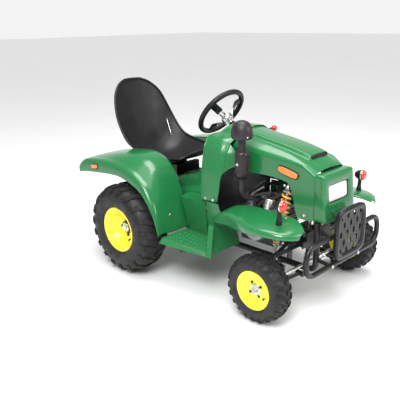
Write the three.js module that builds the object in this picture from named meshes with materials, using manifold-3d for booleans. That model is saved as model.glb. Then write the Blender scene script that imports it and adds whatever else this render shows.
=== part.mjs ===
// A small ride-on vehicle styled as a farm tractor: tube frame, engine in an open bay, bucket seat,
// steered front wheels and a live rear axle. Millimetres, +X forward, +Y left, +Z up, ground at Z = 0.
// Inside this file X is counted from the rear axle; the last lines move the model to its own middle.
import * as THREE from 'three';
import { mergeVertices } from 'three/addons/utils/BufferGeometryUtils.js';
import Module from 'manifold-3d';

const wasm = await Module();
wasm.setup();

// ---- driving dimensions -------------------------------------------------------------------------
const wheelbase = 828;
const frontTrack = 710; // between the middles of the front tyres
const rearTrack = 784;
const frontTyre = { radius: 152, width: 105, bead: 78, flange: 88 };
const rearTyre = { radius: 229, width: 172, bead: 102, flange: 115 };
const kingpinY = 268; // sideways distance of a kingpin from the middle
const steerArm = { reach: 72, out: 12 }; // pitman and knuckle arms share it, so the rods stay parallel
const rodZ = 208; // height of the tie rods
const frontEnd = 1048; // foremost face of the bumper plate
const rearEnd = -430; // rearmost face of the hitch plate
const wheelSides = 24; // flats round a tyre and its rim
const rail = { y: 105, z: 178, radius: 14, front: 940 };
const floorZ = 240; // top of the footboards
const floorHalf = 420; // outer edge of the footboards and fenders
const postFoot = 425; // lower end of the cowl's posts
const bodyHalf = 250; // outer face of the cowl's posts
const skin = 4; // thickness of the moulded body panels
const seam = 0.4; // gap between pieces that meet
const pivotGap = 0.6; // gap between a shaft and its bush
const steering = { x: 286, z: 795, radius: 125, grip: 13, rake: 35.4 };
const shaftRadius = 9;
const bumperX = 1013;
const footTubeX = 385;
const footTubeRadius = 11;
const stackAt = { x: 590, y: -195 };
const loopHalf = 288; // half width of the bumper loop, at its tube's middle
const loopLow = 222;
const loopHigh = 354;

// ---- materials ----------------------------------------------------------------------------------
function paint(color, roughness, metalness) {
  return new THREE.MeshStandardMaterial({ color, roughness, metalness });
}
const green = () => paint(0x1f7a34, 0.25, 0.0);
const black = () => paint(0x17171a, 0.5, 0.2);
const plastic = () => paint(0x1b1b1d, 0.55, 0.0);
const yellow = () => paint(0xe8d21c, 0.35, 0.1);
const rubber = () => paint(0x1c1c1e, 0.9, 0.0);
const steel = () => paint(0xb8b8b4, 0.35, 0.9);
const castMetal = () => paint(0x7f8285, 0.5, 0.8);
const lampGlass = () => paint(0xe9edf0, 0.1, 0.0);
const redLens = () => paint(0xc81e14, 0.2, 0.0);

// ---- geometry helpers ---------------------------------------------------------------------------
const vec = (x, y, z) => new THREE.Vector3(x, y, z);

// Keeps only positions, joins shared corners, drops empty triangles and turns the faces outward.
function closed(geometry) {
  const bare = new THREE.BufferGeometry();
  bare.setAttribute('position', geometry.getAttribute('position').clone());
  if (geometry.index) bare.setIndex(geometry.index.clone());
  const merged = mergeVertices(bare, 1e-3);
  const p = merged.getAttribute('position');
  const index = merged.index.array;
  const kept = [];
  const a = vec(0, 0, 0);
  const b = vec(0, 0, 0);
  const c = vec(0, 0, 0);
  let volume = 0;
  for (let i = 0; i < index.length; i += 3) {
    const [ia, ib, ic] = [index[i], index[i + 1], index[i + 2]];
    if (ia === ib || ib === ic || ic === ia) continue;
    kept.push(ia, ib, ic);
    a.fromBufferAttribute(p, ia);
    b.fromBufferAttribute(p, ib);
    c.fromBufferAttribute(p, ic);
    volume += a.dot(b.cross(c));
  }
  if (volume < 0) kept.reverse();
  merged.setIndex(kept);
  return merged;
}

function toSolid(geometry) {
  const g = closed(geometry);
  return new wasm.Manifold(new wasm.Mesh({
    numProp: 3,
    vertProperties: new Float32Array(g.getAttribute('position').array),
    triVerts: new Uint32Array(g.index.array),
  }));
}

function fromSolid(solid) {
  const mesh = solid.getMesh();
  const g = new THREE.BufferGeometry();
  g.setAttribute('position', new THREE.BufferAttribute(new Float32Array(mesh.vertProperties), 3));
  g.setIndex(Array.from(mesh.triVerts));
  return g;
}

const join = (...parts) => fromSolid(parts.map(toSolid).reduce((sum, part) => sum.add(part)));

function cut(body, ...tools) {
  return fromSolid(tools.map(toSolid).reduce((rest, tool) => rest.subtract(tool), toSolid(body)));
}

function box(x0, x1, y0, y1, z0, z1) {
  const g = new THREE.BoxGeometry(x1 - x0, y1 - y0, z1 - z0);
  return g.translate((x0 + x1) / 2, (y0 + y1) / 2, (z0 + z1) / 2);
}

// A cylinder between two points.
function rod(from, to, radius, sides = 12) {
  const along = to.clone().sub(from);
  const g = new THREE.CylinderGeometry(radius, radius, along.length(), sides);
  const turn = new THREE.Quaternion().setFromUnitVectors(vec(0, 1, 0), along.clone().normalize());
  return g.applyQuaternion(turn).translate(...from.clone().add(to).multiplyScalar(0.5).toArray());
}

// A round tube through corner points, each corner rounded by an arc of about the bend radius.
function bentTube(points, radius, bend, steps = 20, sides = 8) {
  const path = new THREE.CurvePath();
  let last = points[0];
  for (let i = 1; i < points.length - 1; i++) {
    const before = points[i - 1].clone().sub(points[i]).setLength(bend).add(points[i]);
    const after = points[i + 1].clone().sub(points[i]).setLength(bend).add(points[i]);
    path.add(new THREE.LineCurve3(last, before));
    path.add(new THREE.QuadraticBezierCurve3(before, points[i], after));
    last = after;
  }
  path.add(new THREE.LineCurve3(last, points[points.length - 1]));
  const section = new THREE.Shape();
  for (let i = 0; i < sides; i++) {
    const turn = (i / sides) * 2 * Math.PI;
    const move = i ? 'lineTo' : 'moveTo';
    section[move](radius * Math.cos(turn), radius * Math.sin(turn));
  }
  return new THREE.ExtrudeGeometry(section, { steps, extrudePath: path, bevelEnabled: false });
}

// A turned piece about the Y axis through (x, y, z). Profile points are [radius, distance along Y].
function turned(profile, x, y, z, segments = 28) {
  const points = profile.map(([r, along]) => new THREE.Vector2(r, along));
  return new THREE.LatheGeometry(points, segments).translate(x, y, z);
}

// A turned piece standing on the Z axis through (x, y). Profile points are [radius, height].
function turnedUp(profile, x, y, segments = 20) {
  const points = profile.map(([r, z]) => new THREE.Vector2(r, z));
  return new THREE.LatheGeometry(points, segments).rotateX(Math.PI / 2).translate(x, y, 0);
}

// A closed skin through rings with equal numbers of points; flat is the axis that the end caps face.
function loft(rings, flat) {
  const count = rings[0].length;
  const positions = rings.flat().flatMap((p) => p.toArray());
  const index = [];
  for (let i = 0; i < rings.length - 1; i++) {
    for (let j = 0; j < count; j++) {
      const a = i * count + j;
      const b = i * count + ((j + 1) % count);
      index.push(a, b, a + count, b, b + count, a + count);
    }
  }
  const across = { x: ['y', 'z'], y: ['x', 'z'], z: ['x', 'y'] }[flat];
  const flatten = (p) => new THREE.Vector2(p[across[0]], p[across[1]]);
  // a lid's triangles run with the ring's own order on the last ring and against it on the first
  const lid = (ring, start, forward) => {
    const contour = ring.map(flatten);
    const area = THREE.ShapeUtils.area(contour);
    for (const [i, j, k] of THREE.ShapeUtils.triangulateShape(contour, [])) {
      const sameTurn = (THREE.ShapeUtils.area([contour[i], contour[j], contour[k]]) > 0) === (area > 0);
      const order = sameTurn === forward ? [i, j, k] : [i, k, j];
      index.push(...order.map((n) => start + n));
    }
  };
  lid(rings[0], 0, false);
  lid(rings[rings.length - 1], (rings.length - 1) * count, true);
  const g = new THREE.BufferGeometry();
  g.setAttribute('position', new THREE.BufferAttribute(new Float32Array(positions), 3));
  g.setIndex(index);
  return g;
}

// An outline [a, b] extruded by depth: 'y' lays it in X-Z from y = at, 'x' in Y-Z from x = at,
// 'z' in X-Y from z = at.
function plate(outline, normal, at, depth) {
  const shape = new THREE.Shape(outline.map(([a, b]) => new THREE.Vector2(a, b)));
  const g = new THREE.ExtrudeGeometry(shape, { depth, bevelEnabled: false });
  if (normal === 'z') return g.translate(0, 0, at);
  if (normal === 'y') return g.rotateX(Math.PI / 2).translate(0, at + depth, 0);
  return g.rotateX(Math.PI / 2).rotateZ(Math.PI / 2).translate(at, 0, 0);
}

// Corners of a rectangle with rounded corners, as an outline.
function roundedBox(a0, a1, b0, b1, radius, steps = 4) {
  const outline = [];
  const corners = [[a1 - radius, b0 + radius, -90], [a1 - radius, b1 - radius, 0],
    [a0 + radius, b1 - radius, 90], [a0 + radius, b0 + radius, 180]];
  for (const [a, b, start] of corners) {
    for (let i = 0; i <= steps; i++) {
      const turn = THREE.MathUtils.degToRad(start + (90 * i) / steps);
      outline.push([a + radius * Math.cos(turn), b + radius * Math.sin(turn)]);
    }
  }
  return outline;
}

// A sheet arched over the middle line: half an outline [y, z] from one foot up to the crown.
function archRing(x, half, thickness) {
  const outer = half.map(([y, z]) => vec(x, y, z));
  const inner = half.map(([y, z], i) => vec(x, Math.max(y - thickness, 0), i ? z - thickness : z));
  const across = (list) => list.slice(0, -1).map((p) => vec(p.x, -p.y, p.z));
  return [...outer, ...across(outer).reverse(), ...across(inner), ...inner.slice().reverse()];
}

// The solid under such an arch, down to the level of its feet.
function archBlock(x, half) {
  const side = half.map(([y, z]) => vec(x, y, z));
  return [...side, ...side.slice(0, -1).reverse().map((p) => vec(x, -p.y, p.z))];
}

// Leans a geometry along X by a share of its height below the level z; only points past fromX move.
function lean(geometry, level, share, fromX = -Infinity) {
  const p = geometry.getAttribute('position');
  for (let i = 0; i < p.count; i++) {
    if (p.getX(i) > fromX) p.setX(i, p.getX(i) + (level - p.getZ(i)) * share);
  }
  return geometry;
}

const mirrorY = (geometry) => geometry.clone().scale(1, -1, 1);
const vehicle = new THREE.Group();

function add(name, geometry, material) {
  const mesh = new THREE.Mesh(closed(geometry), material);
  mesh.name = name;
  vehicle.add(mesh);
}

function addPair(name, geometryLeft, material) {
  add(`${name}_left`, geometryLeft, material());
  add(`${name}_right`, mirrorY(geometryLeft), material());
}

// ---- wheels -------------------------------------------------------------------------------------
function tyre(size, x, y) {
  const { radius: r, width, bead, flange } = size;
  const half = width / 2;
  const side = [[bead + seam, 0.6], [flange + 1.5, 0.8], [flange + 1.5, 0.9], [(flange + r) / 2, 1],
    [r * 0.94, 0.93], [r, 0.7]];
  const outer = side.map(([radius, share]) => [radius, share * half]);
  const inner = side.map(([radius, share]) => [radius, -share * half]).reverse();
  return turned([...outer, ...inner, outer[0]], x, y, r, wheelSides);
}

// A pressed rim: flanges beside the tyre, a recessed dish and a bush around the bore.
function rim(size, dishDepth, bore, x, y) {
  const { radius: r, width: w, bead, flange } = size;
  const edge = (w / 2) * 0.62; // where the tyre's beads sit
  const lip = (w / 2) * 0.84;
  const face = lip - dishDepth;
  const wall = 5;
  return turned([
    [bore, face], [bead * 0.45, face], [bead * 0.62, face + dishDepth * 0.2], [bead - wall - 2, lip - 8],
    [flange - 4, lip], [flange, lip - 2], [bead, edge], [bead, -edge], [flange, 2 - lip], [flange - 4, -lip],
    [bead - wall, -edge], [bead - wall, face - wall - 8], [bead * 0.62, face - wall],
      [bore + 12, face - wall],
    [bore + 12, face - 30], [bore, face - 30], [bore, face],
  ], x, y, r, wheelSides);
}

const stubRadius = 10;
const axleRadius = 15;
const frontDish = 20;
const rearDish = 62;
const frontWheelY = frontTrack / 2;
const rearWheelY = rearTrack / 2;
const frontFaceY = frontWheelY + (frontTyre.width / 2) * 0.84 - frontDish;
const rearFaceY = rearWheelY + (rearTyre.width / 2) * 0.84 - rearDish;

function frontWheels() {
  addPair('front_tyre', tyre(frontTyre, wheelbase, frontWheelY), rubber);
  addPair('front_rim', rim(frontTyre, frontDish, stubRadius + pivotGap, wheelbase, frontWheelY), yellow);
}

function rearWheels() {
  addPair('rear_tyre', tyre(rearTyre, 0, rearWheelY), rubber);
  addPair('rear_rim', rim(rearTyre, rearDish, axleRadius + seam, 0, rearWheelY), yellow);
}

function rearAxle() {
  const z = rearTyre.radius;
  const end = rearFaceY + 22;
  const hub = (side) => rod(vec(0, side * (rearFaceY + seam), z), vec(0, side * (rearFaceY + 12), z), 30, 12);
  const sprocket = rod(vec(0, -72, z), vec(0, -66, z), 78, 20);
  const disc = rod(vec(0, 92, z), vec(0, 96, z), 82, 20);
  return join(rod(vec(0, -end, z), vec(0, end, z), axleRadius, 12), hub(1), hub(-1), sprocket, disc);
}

// ---- front suspension and steering --------------------------------------------------------------
const stubZ = frontTyre.radius;
const armZ = { low: 132, high: 262 };
const lowArm = { inY: 136, inZ: 158, spread: 52 }; // inboard pivots, beside the rails
const highArm = { inY: 108, inZ: 280, spread: 30 };
const pivotHalf = 16; // half length of a pivot bush

function wishbone(outerZ, { inY, inZ, spread }) {
  const outer = vec(wheelbase, kingpinY - 16, outerZ);
  const legs = [-1, 1].map((end) => {
    const inner = vec(wheelbase + end * spread, inY, inZ);
    const bushEnd = (side) => inner.clone().setX(inner.x + side * pivotHalf);
    const bush = rod(bushEnd(-1), bushEnd(1), 12, 10);
    return [rod(inner, outer, 9, 8), bush];
  });
  const eye = rod(vec(wheelbase, kingpinY, outerZ - 12), vec(wheelbase, kingpinY, outerZ + 12), 15, 12);
  return join(...legs.flat(), eye, rod(outer.clone().setY(kingpinY - 34), outer, 11, 8));
}

// The knuckle hangs on the two arm eyes, with a fork end beyond each eye, a stub axle and a steering arm.
function knuckle() {
  const webY = kingpinY + 24;
  const onPin = (z) => vec(wheelbase, kingpinY, z);
  const fork = (z, side) => rod(onPin(z + side * 13), onPin(z + side * 21), 14, 10);
  const arms = [armZ.low, armZ.high].map((z) => {
    const side = z === armZ.low ? 1 : -1;
    const middle = z + side * 17;
    return join(fork(z, side), box(wheelbase - 9, wheelbase + 9, kingpinY, webY, middle - 4, middle + 4));
  });
  const web = box(wheelbase - 13, wheelbase + 13, webY - 8, webY, armZ.low + 13, armZ.high - 13);
  const stub = rod(vec(wheelbase, webY - 4, stubZ), vec(wheelbase, frontFaceY + 14, stubZ), stubRadius, 12);
  const shoulder = rod(vec(wheelbase, webY - 4, stubZ), vec(wheelbase, webY + 14, stubZ), 17, 12);
  const nut = rod(vec(wheelbase, frontFaceY + 3, stubZ), vec(wheelbase, frontFaceY + 14, stubZ), 15, 6);
  const pinX = wheelbase + steerArm.reach;
  const pinY = kingpinY + steerArm.out;
  const root = wheelbase + 5;
  const armOutline = [[root, webY - 6], [pinX + 8, pinY + 8], [pinX + 8, pinY - 8], [root, webY - 24]];
  const arm = plate(armOutline, 'z', rodZ - 20, 7);
  const pin = rod(vec(pinX, pinY, rodZ - 20), vec(pinX, pinY, rodZ + 8), 4, 8);
  return join(web, ...arms, stub, shoulder, nut, arm, pin);
}

function tieRod() {
  const pinX = wheelbase + steerArm.reach;
  const outer = vec(pinX, kingpinY + steerArm.out, rodZ);
  const inner = vec(pinX, steerArm.out, rodZ);
  const bore = (p) => rod(vec(p.x, p.y, rodZ - 20), vec(p.x, p.y, rodZ + 20), 4 + pivotGap, 8);
  const eyes = [outer, inner].map((p) => rod(vec(p.x, p.y, rodZ - 7), vec(p.x, p.y, rodZ + 7), 10, 10));
  return cut(join(rod(inner, outer, 7, 10), ...eyes), bore(outer), bore(inner));
}

// Lower steering shaft with the pitman arm that both tie rods hang on.
function lowerShaft() {
  const pinX = wheelbase + steerArm.reach;
  const tip = steerArm.out + 9;
  const armOutline = [[wheelbase - 14, -14], [pinX + 9, -tip], [pinX + 9, tip], [wheelbase - 14, 14]];
  const arm = plate(armOutline, 'z', rodZ - 20, 7);
  const pin = (y) => rod(vec(pinX, y, rodZ - 20), vec(pinX, y, rodZ + 8), 4, 8);
  const shaft = rod(vec(wheelbase, 0, rodZ - 20), vec(wheelbase, 0, 398), shaftRadius, 12);
  return join(shaft, arm, pin(steerArm.out), pin(-steerArm.out));
}

const columnTilt = THREE.MathUtils.degToRad(steering.rake);

// A point on the steering column's axis, counted from the steering wheel's middle.
function alongColumn(distance) {
  return vec(steering.x + distance * Math.cos(columnTilt), 0, steering.z - distance * Math.sin(columnTilt));
}

function upperShaft() {
  const spokes = [90, 210, 330].map((turn) => {
    const spoke = box(-16, 16, 0, steering.radius - steering.grip + 3, -2.5, 2.5);
    const slot = plate(roundedBox(-8, 8, 40, 84, 7, 3), 'z', -5, 10);
    return cut(spoke, slot).rotateZ(THREE.MathUtils.degToRad(turn));
  });
  const hub = rod(vec(0, 0, -14), vec(0, 0, 8), 26, 20);
  const head = join(...spokes, hub).rotateY(columnTilt - Math.PI / 2).translate(steering.x, 0, steering.z);
  return join(head, rod(alongColumn(0), alongColumn(650), shaftRadius, 12));
}

function steeringRim() {
  const ring = new THREE.TorusGeometry(steering.radius, steering.grip, 8, 28);
  const place = (g) => g.rotateY(columnTilt - Math.PI / 2).translate(steering.x, 0, steering.z);
  const slots = [90, 210, 330].map((turn) => {
    const reach = steering.radius - steering.grip + 3 + seam;
    const slot = box(-16 - seam, 16 + seam, 0, reach, -2.5 - seam, 2.5 + seam);
    return slot.rotateZ(THREE.MathUtils.degToRad(turn));
  });
  return place(cut(ring, ...slots));
}

const columnRadius = 17;

function columnTube() {
  const bore = rod(alongColumn(60), alongColumn(350), shaftRadius + 2, 12);
  return cut(rod(alongColumn(84), alongColumn(330), columnRadius, 12), bore);
}

function shock() {
  const top = vec(780, 96, 545);
  const bottom = vec(768, 184, 176);
  const along = top.clone().sub(bottom).normalize();
  const point = (d) => bottom.clone().add(along.clone().multiplyScalar(d));
  const length = top.distanceTo(bottom);
  const body = rod(point(0), point(length), 7, 8);
  const damper = rod(point(20), point(130), 14, 10);
  const cap = rod(point(length - 41), point(length - 12), 19, 12);
  const springSeat = rod(point(96), point(104), 21, 12);
  return join(body, damper, cap, springSeat);
}

// ---- frame --------------------------------------------------------------------------------------
// One bent tube a side: under the seat, down, along below the engine and up behind the nose.
function frameRail() {
  const { y, z, radius, front } = rail;
  const corners = [[-200, 412], [160, 412], [192, z], [front, z], [front, 400]];
  const tube = bentTube(corners.map(([x, height]) => vec(x, y, height)), radius, 40, 30, 8);
  const lugs = [-1, 1].map((end) => {
    const x = wheelbase + end * (lowArm.spread + pivotHalf + seam + 3);
    return box(x - 3, x + 3, y, lowArm.inY + 12, lowArm.inZ - 10, lowArm.inZ + 12);
  });
  return join(tube, ...lugs);
}

// Cross frame between the rails that carries the upper arms and the steering bearings. Its front plate
// stops above the tie rods and hangs on the bearing plates.
function frontFrame() {
  const reach = rail.y - rail.radius - seam;
  const gap = highArm.spread + pivotHalf + seam;
  const bottoms = { rear: rail.z - 10, front: rodZ + 28 };
  const plates = [-1, 1].map((end) => {
    const x = wheelbase + end * (gap + 3);
    return box(x - 3, x + 3, -reach, reach, end < 0 ? bottoms.rear : bottoms.front, 330);
  });
  const lugs = [-1, 1].flatMap((end) => [-1, 1].map((side) => {
    const x = wheelbase + end * (gap + 3);
    const [from, to] = side > 0 ? [reach - 6, highArm.inY + 12] : [-highArm.inY - 12, 6 - reach];
    return box(x - 3, x + 3, from, to, highArm.inZ - 14, highArm.inZ + 14);
  }));
  const bearings = [300, 244].map((z) => box(wheelbase - gap - 2, wheelbase + gap + 2, -30, 30, z, z + 10));
  const bore = rod(vec(wheelbase, 0, 200), vec(wheelbase, 0, 340), shaftRadius + pivotGap, 12);
  const window = box(wheelbase - 90, wheelbase - 20, -58, 58, rail.z - 30, rodZ + 28);
  return cut(join(...plates, ...lugs, ...bearings), bore, window);
}

function swingArm() {
  const z = rearTyre.radius;
  const carrier = rod(vec(0, -50, z), vec(0, 50, z), 30, 14);
  const legs = [-1, 1].map((side) => rod(vec(0, side * 36, z), vec(210, side * 60, 215), 13, 8));
  const pivot = rod(vec(210, -rail.y + 16, 215), vec(210, rail.y - 16, 215), 15, 12);
  const hitchArm = box(-120, -20, -16, 16, z - 12, z + 12);
  const bore = rod(vec(0, -60, z), vec(0, 60, z), axleRadius + pivotGap, 14);
  return cut(join(carrier, ...legs, pivot, hitchArm), bore);
}

function hitchPlate() {
  const outline = [[-120 - seam, -16], [-120 - seam, 16], [-360, 30], [rearEnd, 30], [rearEnd, -30],
    [-360, -30]];
  const bar = plate(outline, 'z', rearTyre.radius - 4, 8);
  return cut(bar, rod(vec(-372, 0, 150), vec(-372, 0, 300), 7, 16));
}

// ---- engine and stack ---------------------------------------------------------------------------
function engineBlock() {
  const crankcase = box(486, 690, -82, 82, 206, 372);
  const cylinder = box(680, 742, -48, 48, 262, 372);
  const covers = [-1, 1].map((side) => rod(vec(590, side * 80, 286), vec(590, side * 112, 286), 64, 16));
  const intake = rod(vec(640, 0, 360), vec(640, 0, 430), 24, 14);
  return join(crankcase, cylinder, ...covers, intake);
}

function stack() {
  const { x, y } = stackAt;
  const profile = [[0, 552], [14, 552], [22, 560], [31, 572], [31, 674], [17, 678], [17, 732], [40, 734],
    [47, 746], [45, 776], [34, 802], [16, 812], [0, 812]];
  const foot = bentTube([vec(x, y, 560), vec(x, y, 470), vec(640, -29, 404)], 13, 40, 12, 8);
  return join(turnedUp(profile, x, y, 16), foot);
}

// ---- body panels --------------------------------------------------------------------------------
// Hood stations: x, half width, lower edge, shoulder height, top height and height of the raised middle.
function hood() {
  const bulge = { half: 70, inner: 62, rise: 18 };
  const stations = [
    { x: 488, w: 146, low: 584, shoulder: 672, top: 723, rise: bulge.rise },
    { x: 583, w: 144, low: 572, shoulder: 668, top: 708, rise: bulge.rise },
    { x: 692, w: 137, low: 571, shoulder: 660, top: 692, rise: bulge.rise },
    { x: 786, w: 129, low: 560, shoulder: 652, top: 675, rise: bulge.rise },
    { x: 807, w: 127, low: 545, shoulder: 650, top: 669, rise: bulge.rise },
    { x: 821, w: 126, low: 500, shoulder: 649, top: 666, rise: bulge.rise },
    { x: 833, w: 124, low: 428, shoulder: 648, top: 663, rise: bulge.rise },
    { x: 845, w: 123, low: 403, shoulder: 646, top: 659, rise: bulge.rise },
    { x: 856, w: 122, low: 403, shoulder: 645, top: 656, rise: bulge.rise },
    { x: 858, w: 122, low: 403, shoulder: 645, top: 655, rise: 2 },
    { x: 888, w: 118, low: 404, shoulder: 628, top: 640, rise: 2 },
    { x: 924, w: 113, low: 405, shoulder: 602, top: 618, rise: 2 },
  ];
  const rings = stations.map((s) => archRing(s.x, [
    [s.w, s.low], [s.w, s.shoulder], [92, s.top], [bulge.half, s.top + 3], [bulge.inner, s.top + s.rise],
    [0, s.top + s.rise + 4],
  ], skin));
  return loft(rings, 'x');
}

function nose() {
  const half = [[110, 405], [113, 430], [113, 588], [92, 603], [0, 608]];
  const outline = [...half, ...half.slice(0, -1).reverse().map(([y, z]) => [-y, z])];
  const depth = 40;
  const slope = 0.1; // the face leans forward towards its foot
  const shell = lean(plate(outline, 'x', 924 + seam, depth), 601, slope, 940);
  const inside = outline.map(([y, z]) => [y * (1 - skin / 110), 502 + (z - 502) * (1 - skin / 100)]);
  const hollow = lean(plate(inside, 'x', 900, depth + 18), 601, slope, 940);
  const lampHole = plate(roundedBox(-79, 79, 484, 563, 8, 2), 'x', 900, 120);
  return cut(shell, hollow, lampHole);
}

function headlight() {
  const glass = plate(roundedBox(-78, 78, 485, 562, 8, 2), 'x', 930, 36);
  return join(glass, rod(vec(900, 0, 523), vec(931, 0, 523), 34, 16));
}

// The cowl's posts stand further back than its middle and lean back; its top ends where the hood begins.
function cowl() {
  const section = (x, ...half) => archRing(x, half, skin);
  const rearHalf = [[bodyHalf, postFoot], [230, 564], [203, 668], [168, 714], [111, 722], [60, 749],
    [0, 756]];
  const rear = section(405, ...rearHalf);
  for (const p of rear) p.x -= (14 + (p.z - postFoot) * 0.09) * Math.min(Math.abs(p.y) / 165, 1) ** 2;
  const rings = [
    rear,
    section(455, [bodyHalf, postFoot], [236, 562], [211, 664], [180, 708], [112, 723], [66, 749], [0, 755]),
    section(490, [235, postFoot], [224, 558], [200, 650], [172, 694], [110, 723], [70, 747], [0, 753]),
    section(560, [156, postFoot], [156, 560], [156, 640], [153, 682], [104, 723], [70, 744], [0, 750]),
  ];
  const archEdge = [[478, 300], [480, 400], [481, 480], [485, 538], [496, 566], [518, 587], [552, 600],
    [700, 604], [700, 300]];
  const arch = plate(archEdge, 'y', -300, 600);
  const above = plate([[500, 800], [500, 690], [558, 630], [600, 630], [600, 800]], 'y', -300, 600);
  return cut(loft(rings, 'x'), arch, above);
}

function firewall() {
  const half = [[220, 204], [220, 243], [234, 243], [241, 405], [243, 432], [223, 559], [197, 658],
    [163, 702], [106, 713], [56, 739], [0, 746]];
  const outline = [...half, ...half.slice(0, -1).reverse().map(([y, z]) => [-y, z])];
  const column = rod(alongColumn(60), alongColumn(330), columnRadius + seam, 12);
  return cut(plate(outline, 'x', 409, 4), column);
}

function footTube() {
  const z = rail.z + rail.radius + footTubeRadius + seam;
  return rod(vec(footTubeX, -390, z), vec(footTubeX, 390, z), footTubeRadius, 10);
}

// One moulding a side: the floor with its flared skirt, the wall below the cowl's post, and the splash
// wall in front of the feet, which ends outside in a lip that carries the fenders' flange upward.
function footboard() {
  const z = { floor: floorZ, hem: floorZ - 24, top: 346 };
  const inside = 225; // clears the tunnel's foot
  const rim = (outline, height) => outline.map(([x, y]) => vec(x, y, height));
  const floorEdge = [[264, inside], [264, 398], [541, 384], [541, inside]];
  const hemEdge = [[264, inside], [264, floorHalf + 2], [549, 388], [549, inside]];
  const shrink = (outline) => outline.map(([x, y]) => [x + (x > 300 ? -skin : skin), y > 300 ? y - skin : y - 40]);
  const tray = loft([rim(hemEdge, z.hem), rim(floorEdge, z.floor)], 'z');
  const hollow = loft([rim(shrink(hemEdge), z.hem - 1), rim(shrink(floorEdge), z.floor - skin)], 'z');
  const slope = 0.27; // the splash wall leans back
  const back = (height) => 545 - (height - z.hem) * slope; // its rear face
  const edge = (height) => 386 - (height - z.hem) * 0.42; // outer face of its lip
  const lipDepth = 30;
  const section = (height) => {
    const [x, y] = [back(height), edge(height)];
    const end = x + lipDepth;
    return rim([[x, 160], [x, y], [end, y], [end, y - skin], [x + skin, y - skin], [x + skin, 160]], height);
  };
  const splash = loft([section(z.hem), section(z.top)], 'z');
  const [foot, head] = [floorZ - skin, postFoot - 5];
  const slant = [[inside, foot], [bodyHalf - 4, head], [bodyHalf, head], [inside + skin, foot]];
  const side = (x) => slant.map(([y, height]) => vec(x, y, height));
  const wall = lean(loft([side(414), side(547)], 'x'), z.hem, slope, 500);
  return join(cut(tray, hollow), splash, wall);
}

// Centre tunnel: narrow between the fenders, with a wide lower part between the footboards.
function tunnel() {
  const narrow = (top, ridge, foot) => [[200, foot], [178, top - 78], [ridge + 8, top - 62],
    [ridge, top - 6], [0, top]];
  const wide = [[222, 232], [243, 406], [118, 424], [105, 430], [0, 432]];
  const spine = [[-160, narrow(440, 132, 300)], [40, narrow(442, 132, 240)], [150, narrow(480, 126, 222)],
    [260, narrow(504, 112, 222)], [402, narrow(506, 109, 222)]];
  const base = [[267, wide], [402, wide]];
  const inset = (half) => half.map(([y, z], i) => [Math.max(y - skin, 0), i ? z - skin : z - 1]);
  const rearSlope = (ring) => ring.map((p) => p.setX(p.x - (p.z - floorZ) * 0.2));
  // the first and last ring move by the two given distances
  const block = (list, last, first) => list.map(([x, half], i) => {
    const move = i === 0 ? first : i === list.length - 1 ? last : 0;
    return archBlock(x + move, half);
  });
  const baseBlock = (list, last, first) => {
    const rings = block(list, last, first);
    return [rearSlope(rings[0]), ...rings.slice(1)];
  };
  const hollow = (list) => list.map(([x, half]) => [x, inset(half)]);
  const outside = join(loft(block(spine, 0, 0), 'x'), loft(baseBlock(base, 0, 0), 'x'));
  return cut(outside, loft(block(hollow(spine), 1, -1), 'x'), loft(baseBlock(hollow(base), 1, skin), 'x'));
}

// Rear fender: a band over the tyre, from its inner edge to a skirt on the outside.
function rearFender() {
  const crown = [[-392, 500], [-322, 543], [-185, 575], [-80, 590], [23, 594], [134, 549], [206, 431],
    [240, 320], [259, 246]];
  const shoulder = [[-378, 500], [-330, 536], [-185, 554], [-80, 556], [40, 540], [150, 486], [222, 392],
    [250, 310], [260, 254]];
  const lip = [[-366, 458], [-320, 470], [-185, 486], [-80, 494], [10, 490], [140, 440], [216, 350],
    [246, 290], [259, 244]];
  const band = (points, y, thickness) => {
    const lower = points.map(([x, z], i) => {
      const [xa, za] = points[Math.max(i - 1, 0)];
      const [xb, zb] = points[Math.min(i + 1, points.length - 1)];
      const length = Math.hypot(xb - xa, zb - za);
      return vec(x + (thickness * (zb - za)) / length, y, z - (thickness * (xb - xa)) / length);
    });
    return [...points.map(([x, z]) => vec(x, y, z)), ...lower.reverse()];
  };
  const strip = (top, y) => [...top, ...lip.slice().reverse()].map(([x, z]) => vec(x, y, z));
  const dropped = shoulder.map(([x, z]) => [x, z - 8]);
  const over = loft([band(crown, 206, skin), band(crown, 330, skin), band(shoulder, 404, skin)], 'y');
  const skirt = loft([strip(shoulder, 400), strip(shoulder, 404), strip(dropped, floorHalf)], 'y');
  return join(over, skirt);
}

// Front fender stations: x, inner and outer edge, inner and outer height, bottom of the outer skirt.
function frontFender() {
  const stations = [
    { x: 520, a: 262, b: 310, za: 388, zb: 380, skirt: 352 },
    { x: 600, a: 218, b: 330, za: 442, zb: 430, skirt: 370 },
    { x: 680, a: 206, b: 356, za: 447, zb: 436, skirt: 380 },
    { x: 760, a: 204, b: 392, za: 447, zb: 432, skirt: 392 },
    { x: 885, a: 212, b: 392, za: 447, zb: 428, skirt: 402 },
    { x: 948, a: 236, b: 368, za: 438, zb: 424, skirt: 398 },
    { x: 986, a: 268, b: 304, za: 420, zb: 414, skirt: 390 },
  ];
  const ring = ({ x, a, b, za, zb, skirt: low }) => {
    const outside = [[a, za], [b - 16, zb], [b, zb - 16], [b, low]];
    const inside = [[b - skin, low], [b - skin, zb - 18], [b - 18, zb - skin], [a, za - skin]];
    return [...outside, ...inside].map(([y, z]) => vec(x, y, z));
  };
  return loft(stations.map(ring), 'x');
}

function markerLamp() {
  const [x, y, z] = [900, 314, 518];
  const profile = [[0, 0], [20, 0], [22, 8], [22, 26], [14, 40], [0, 44]];
  const points = profile.map(([r, along]) => new THREE.Vector2(r, along));
  const housing = new THREE.LatheGeometry(points, 14).rotateZ(Math.PI / 2).translate(x + 12, y, z);
  return join(housing, rod(vec(x - 8, y, z), vec(x - 8, y, 438), 5, 8));
}

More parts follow.
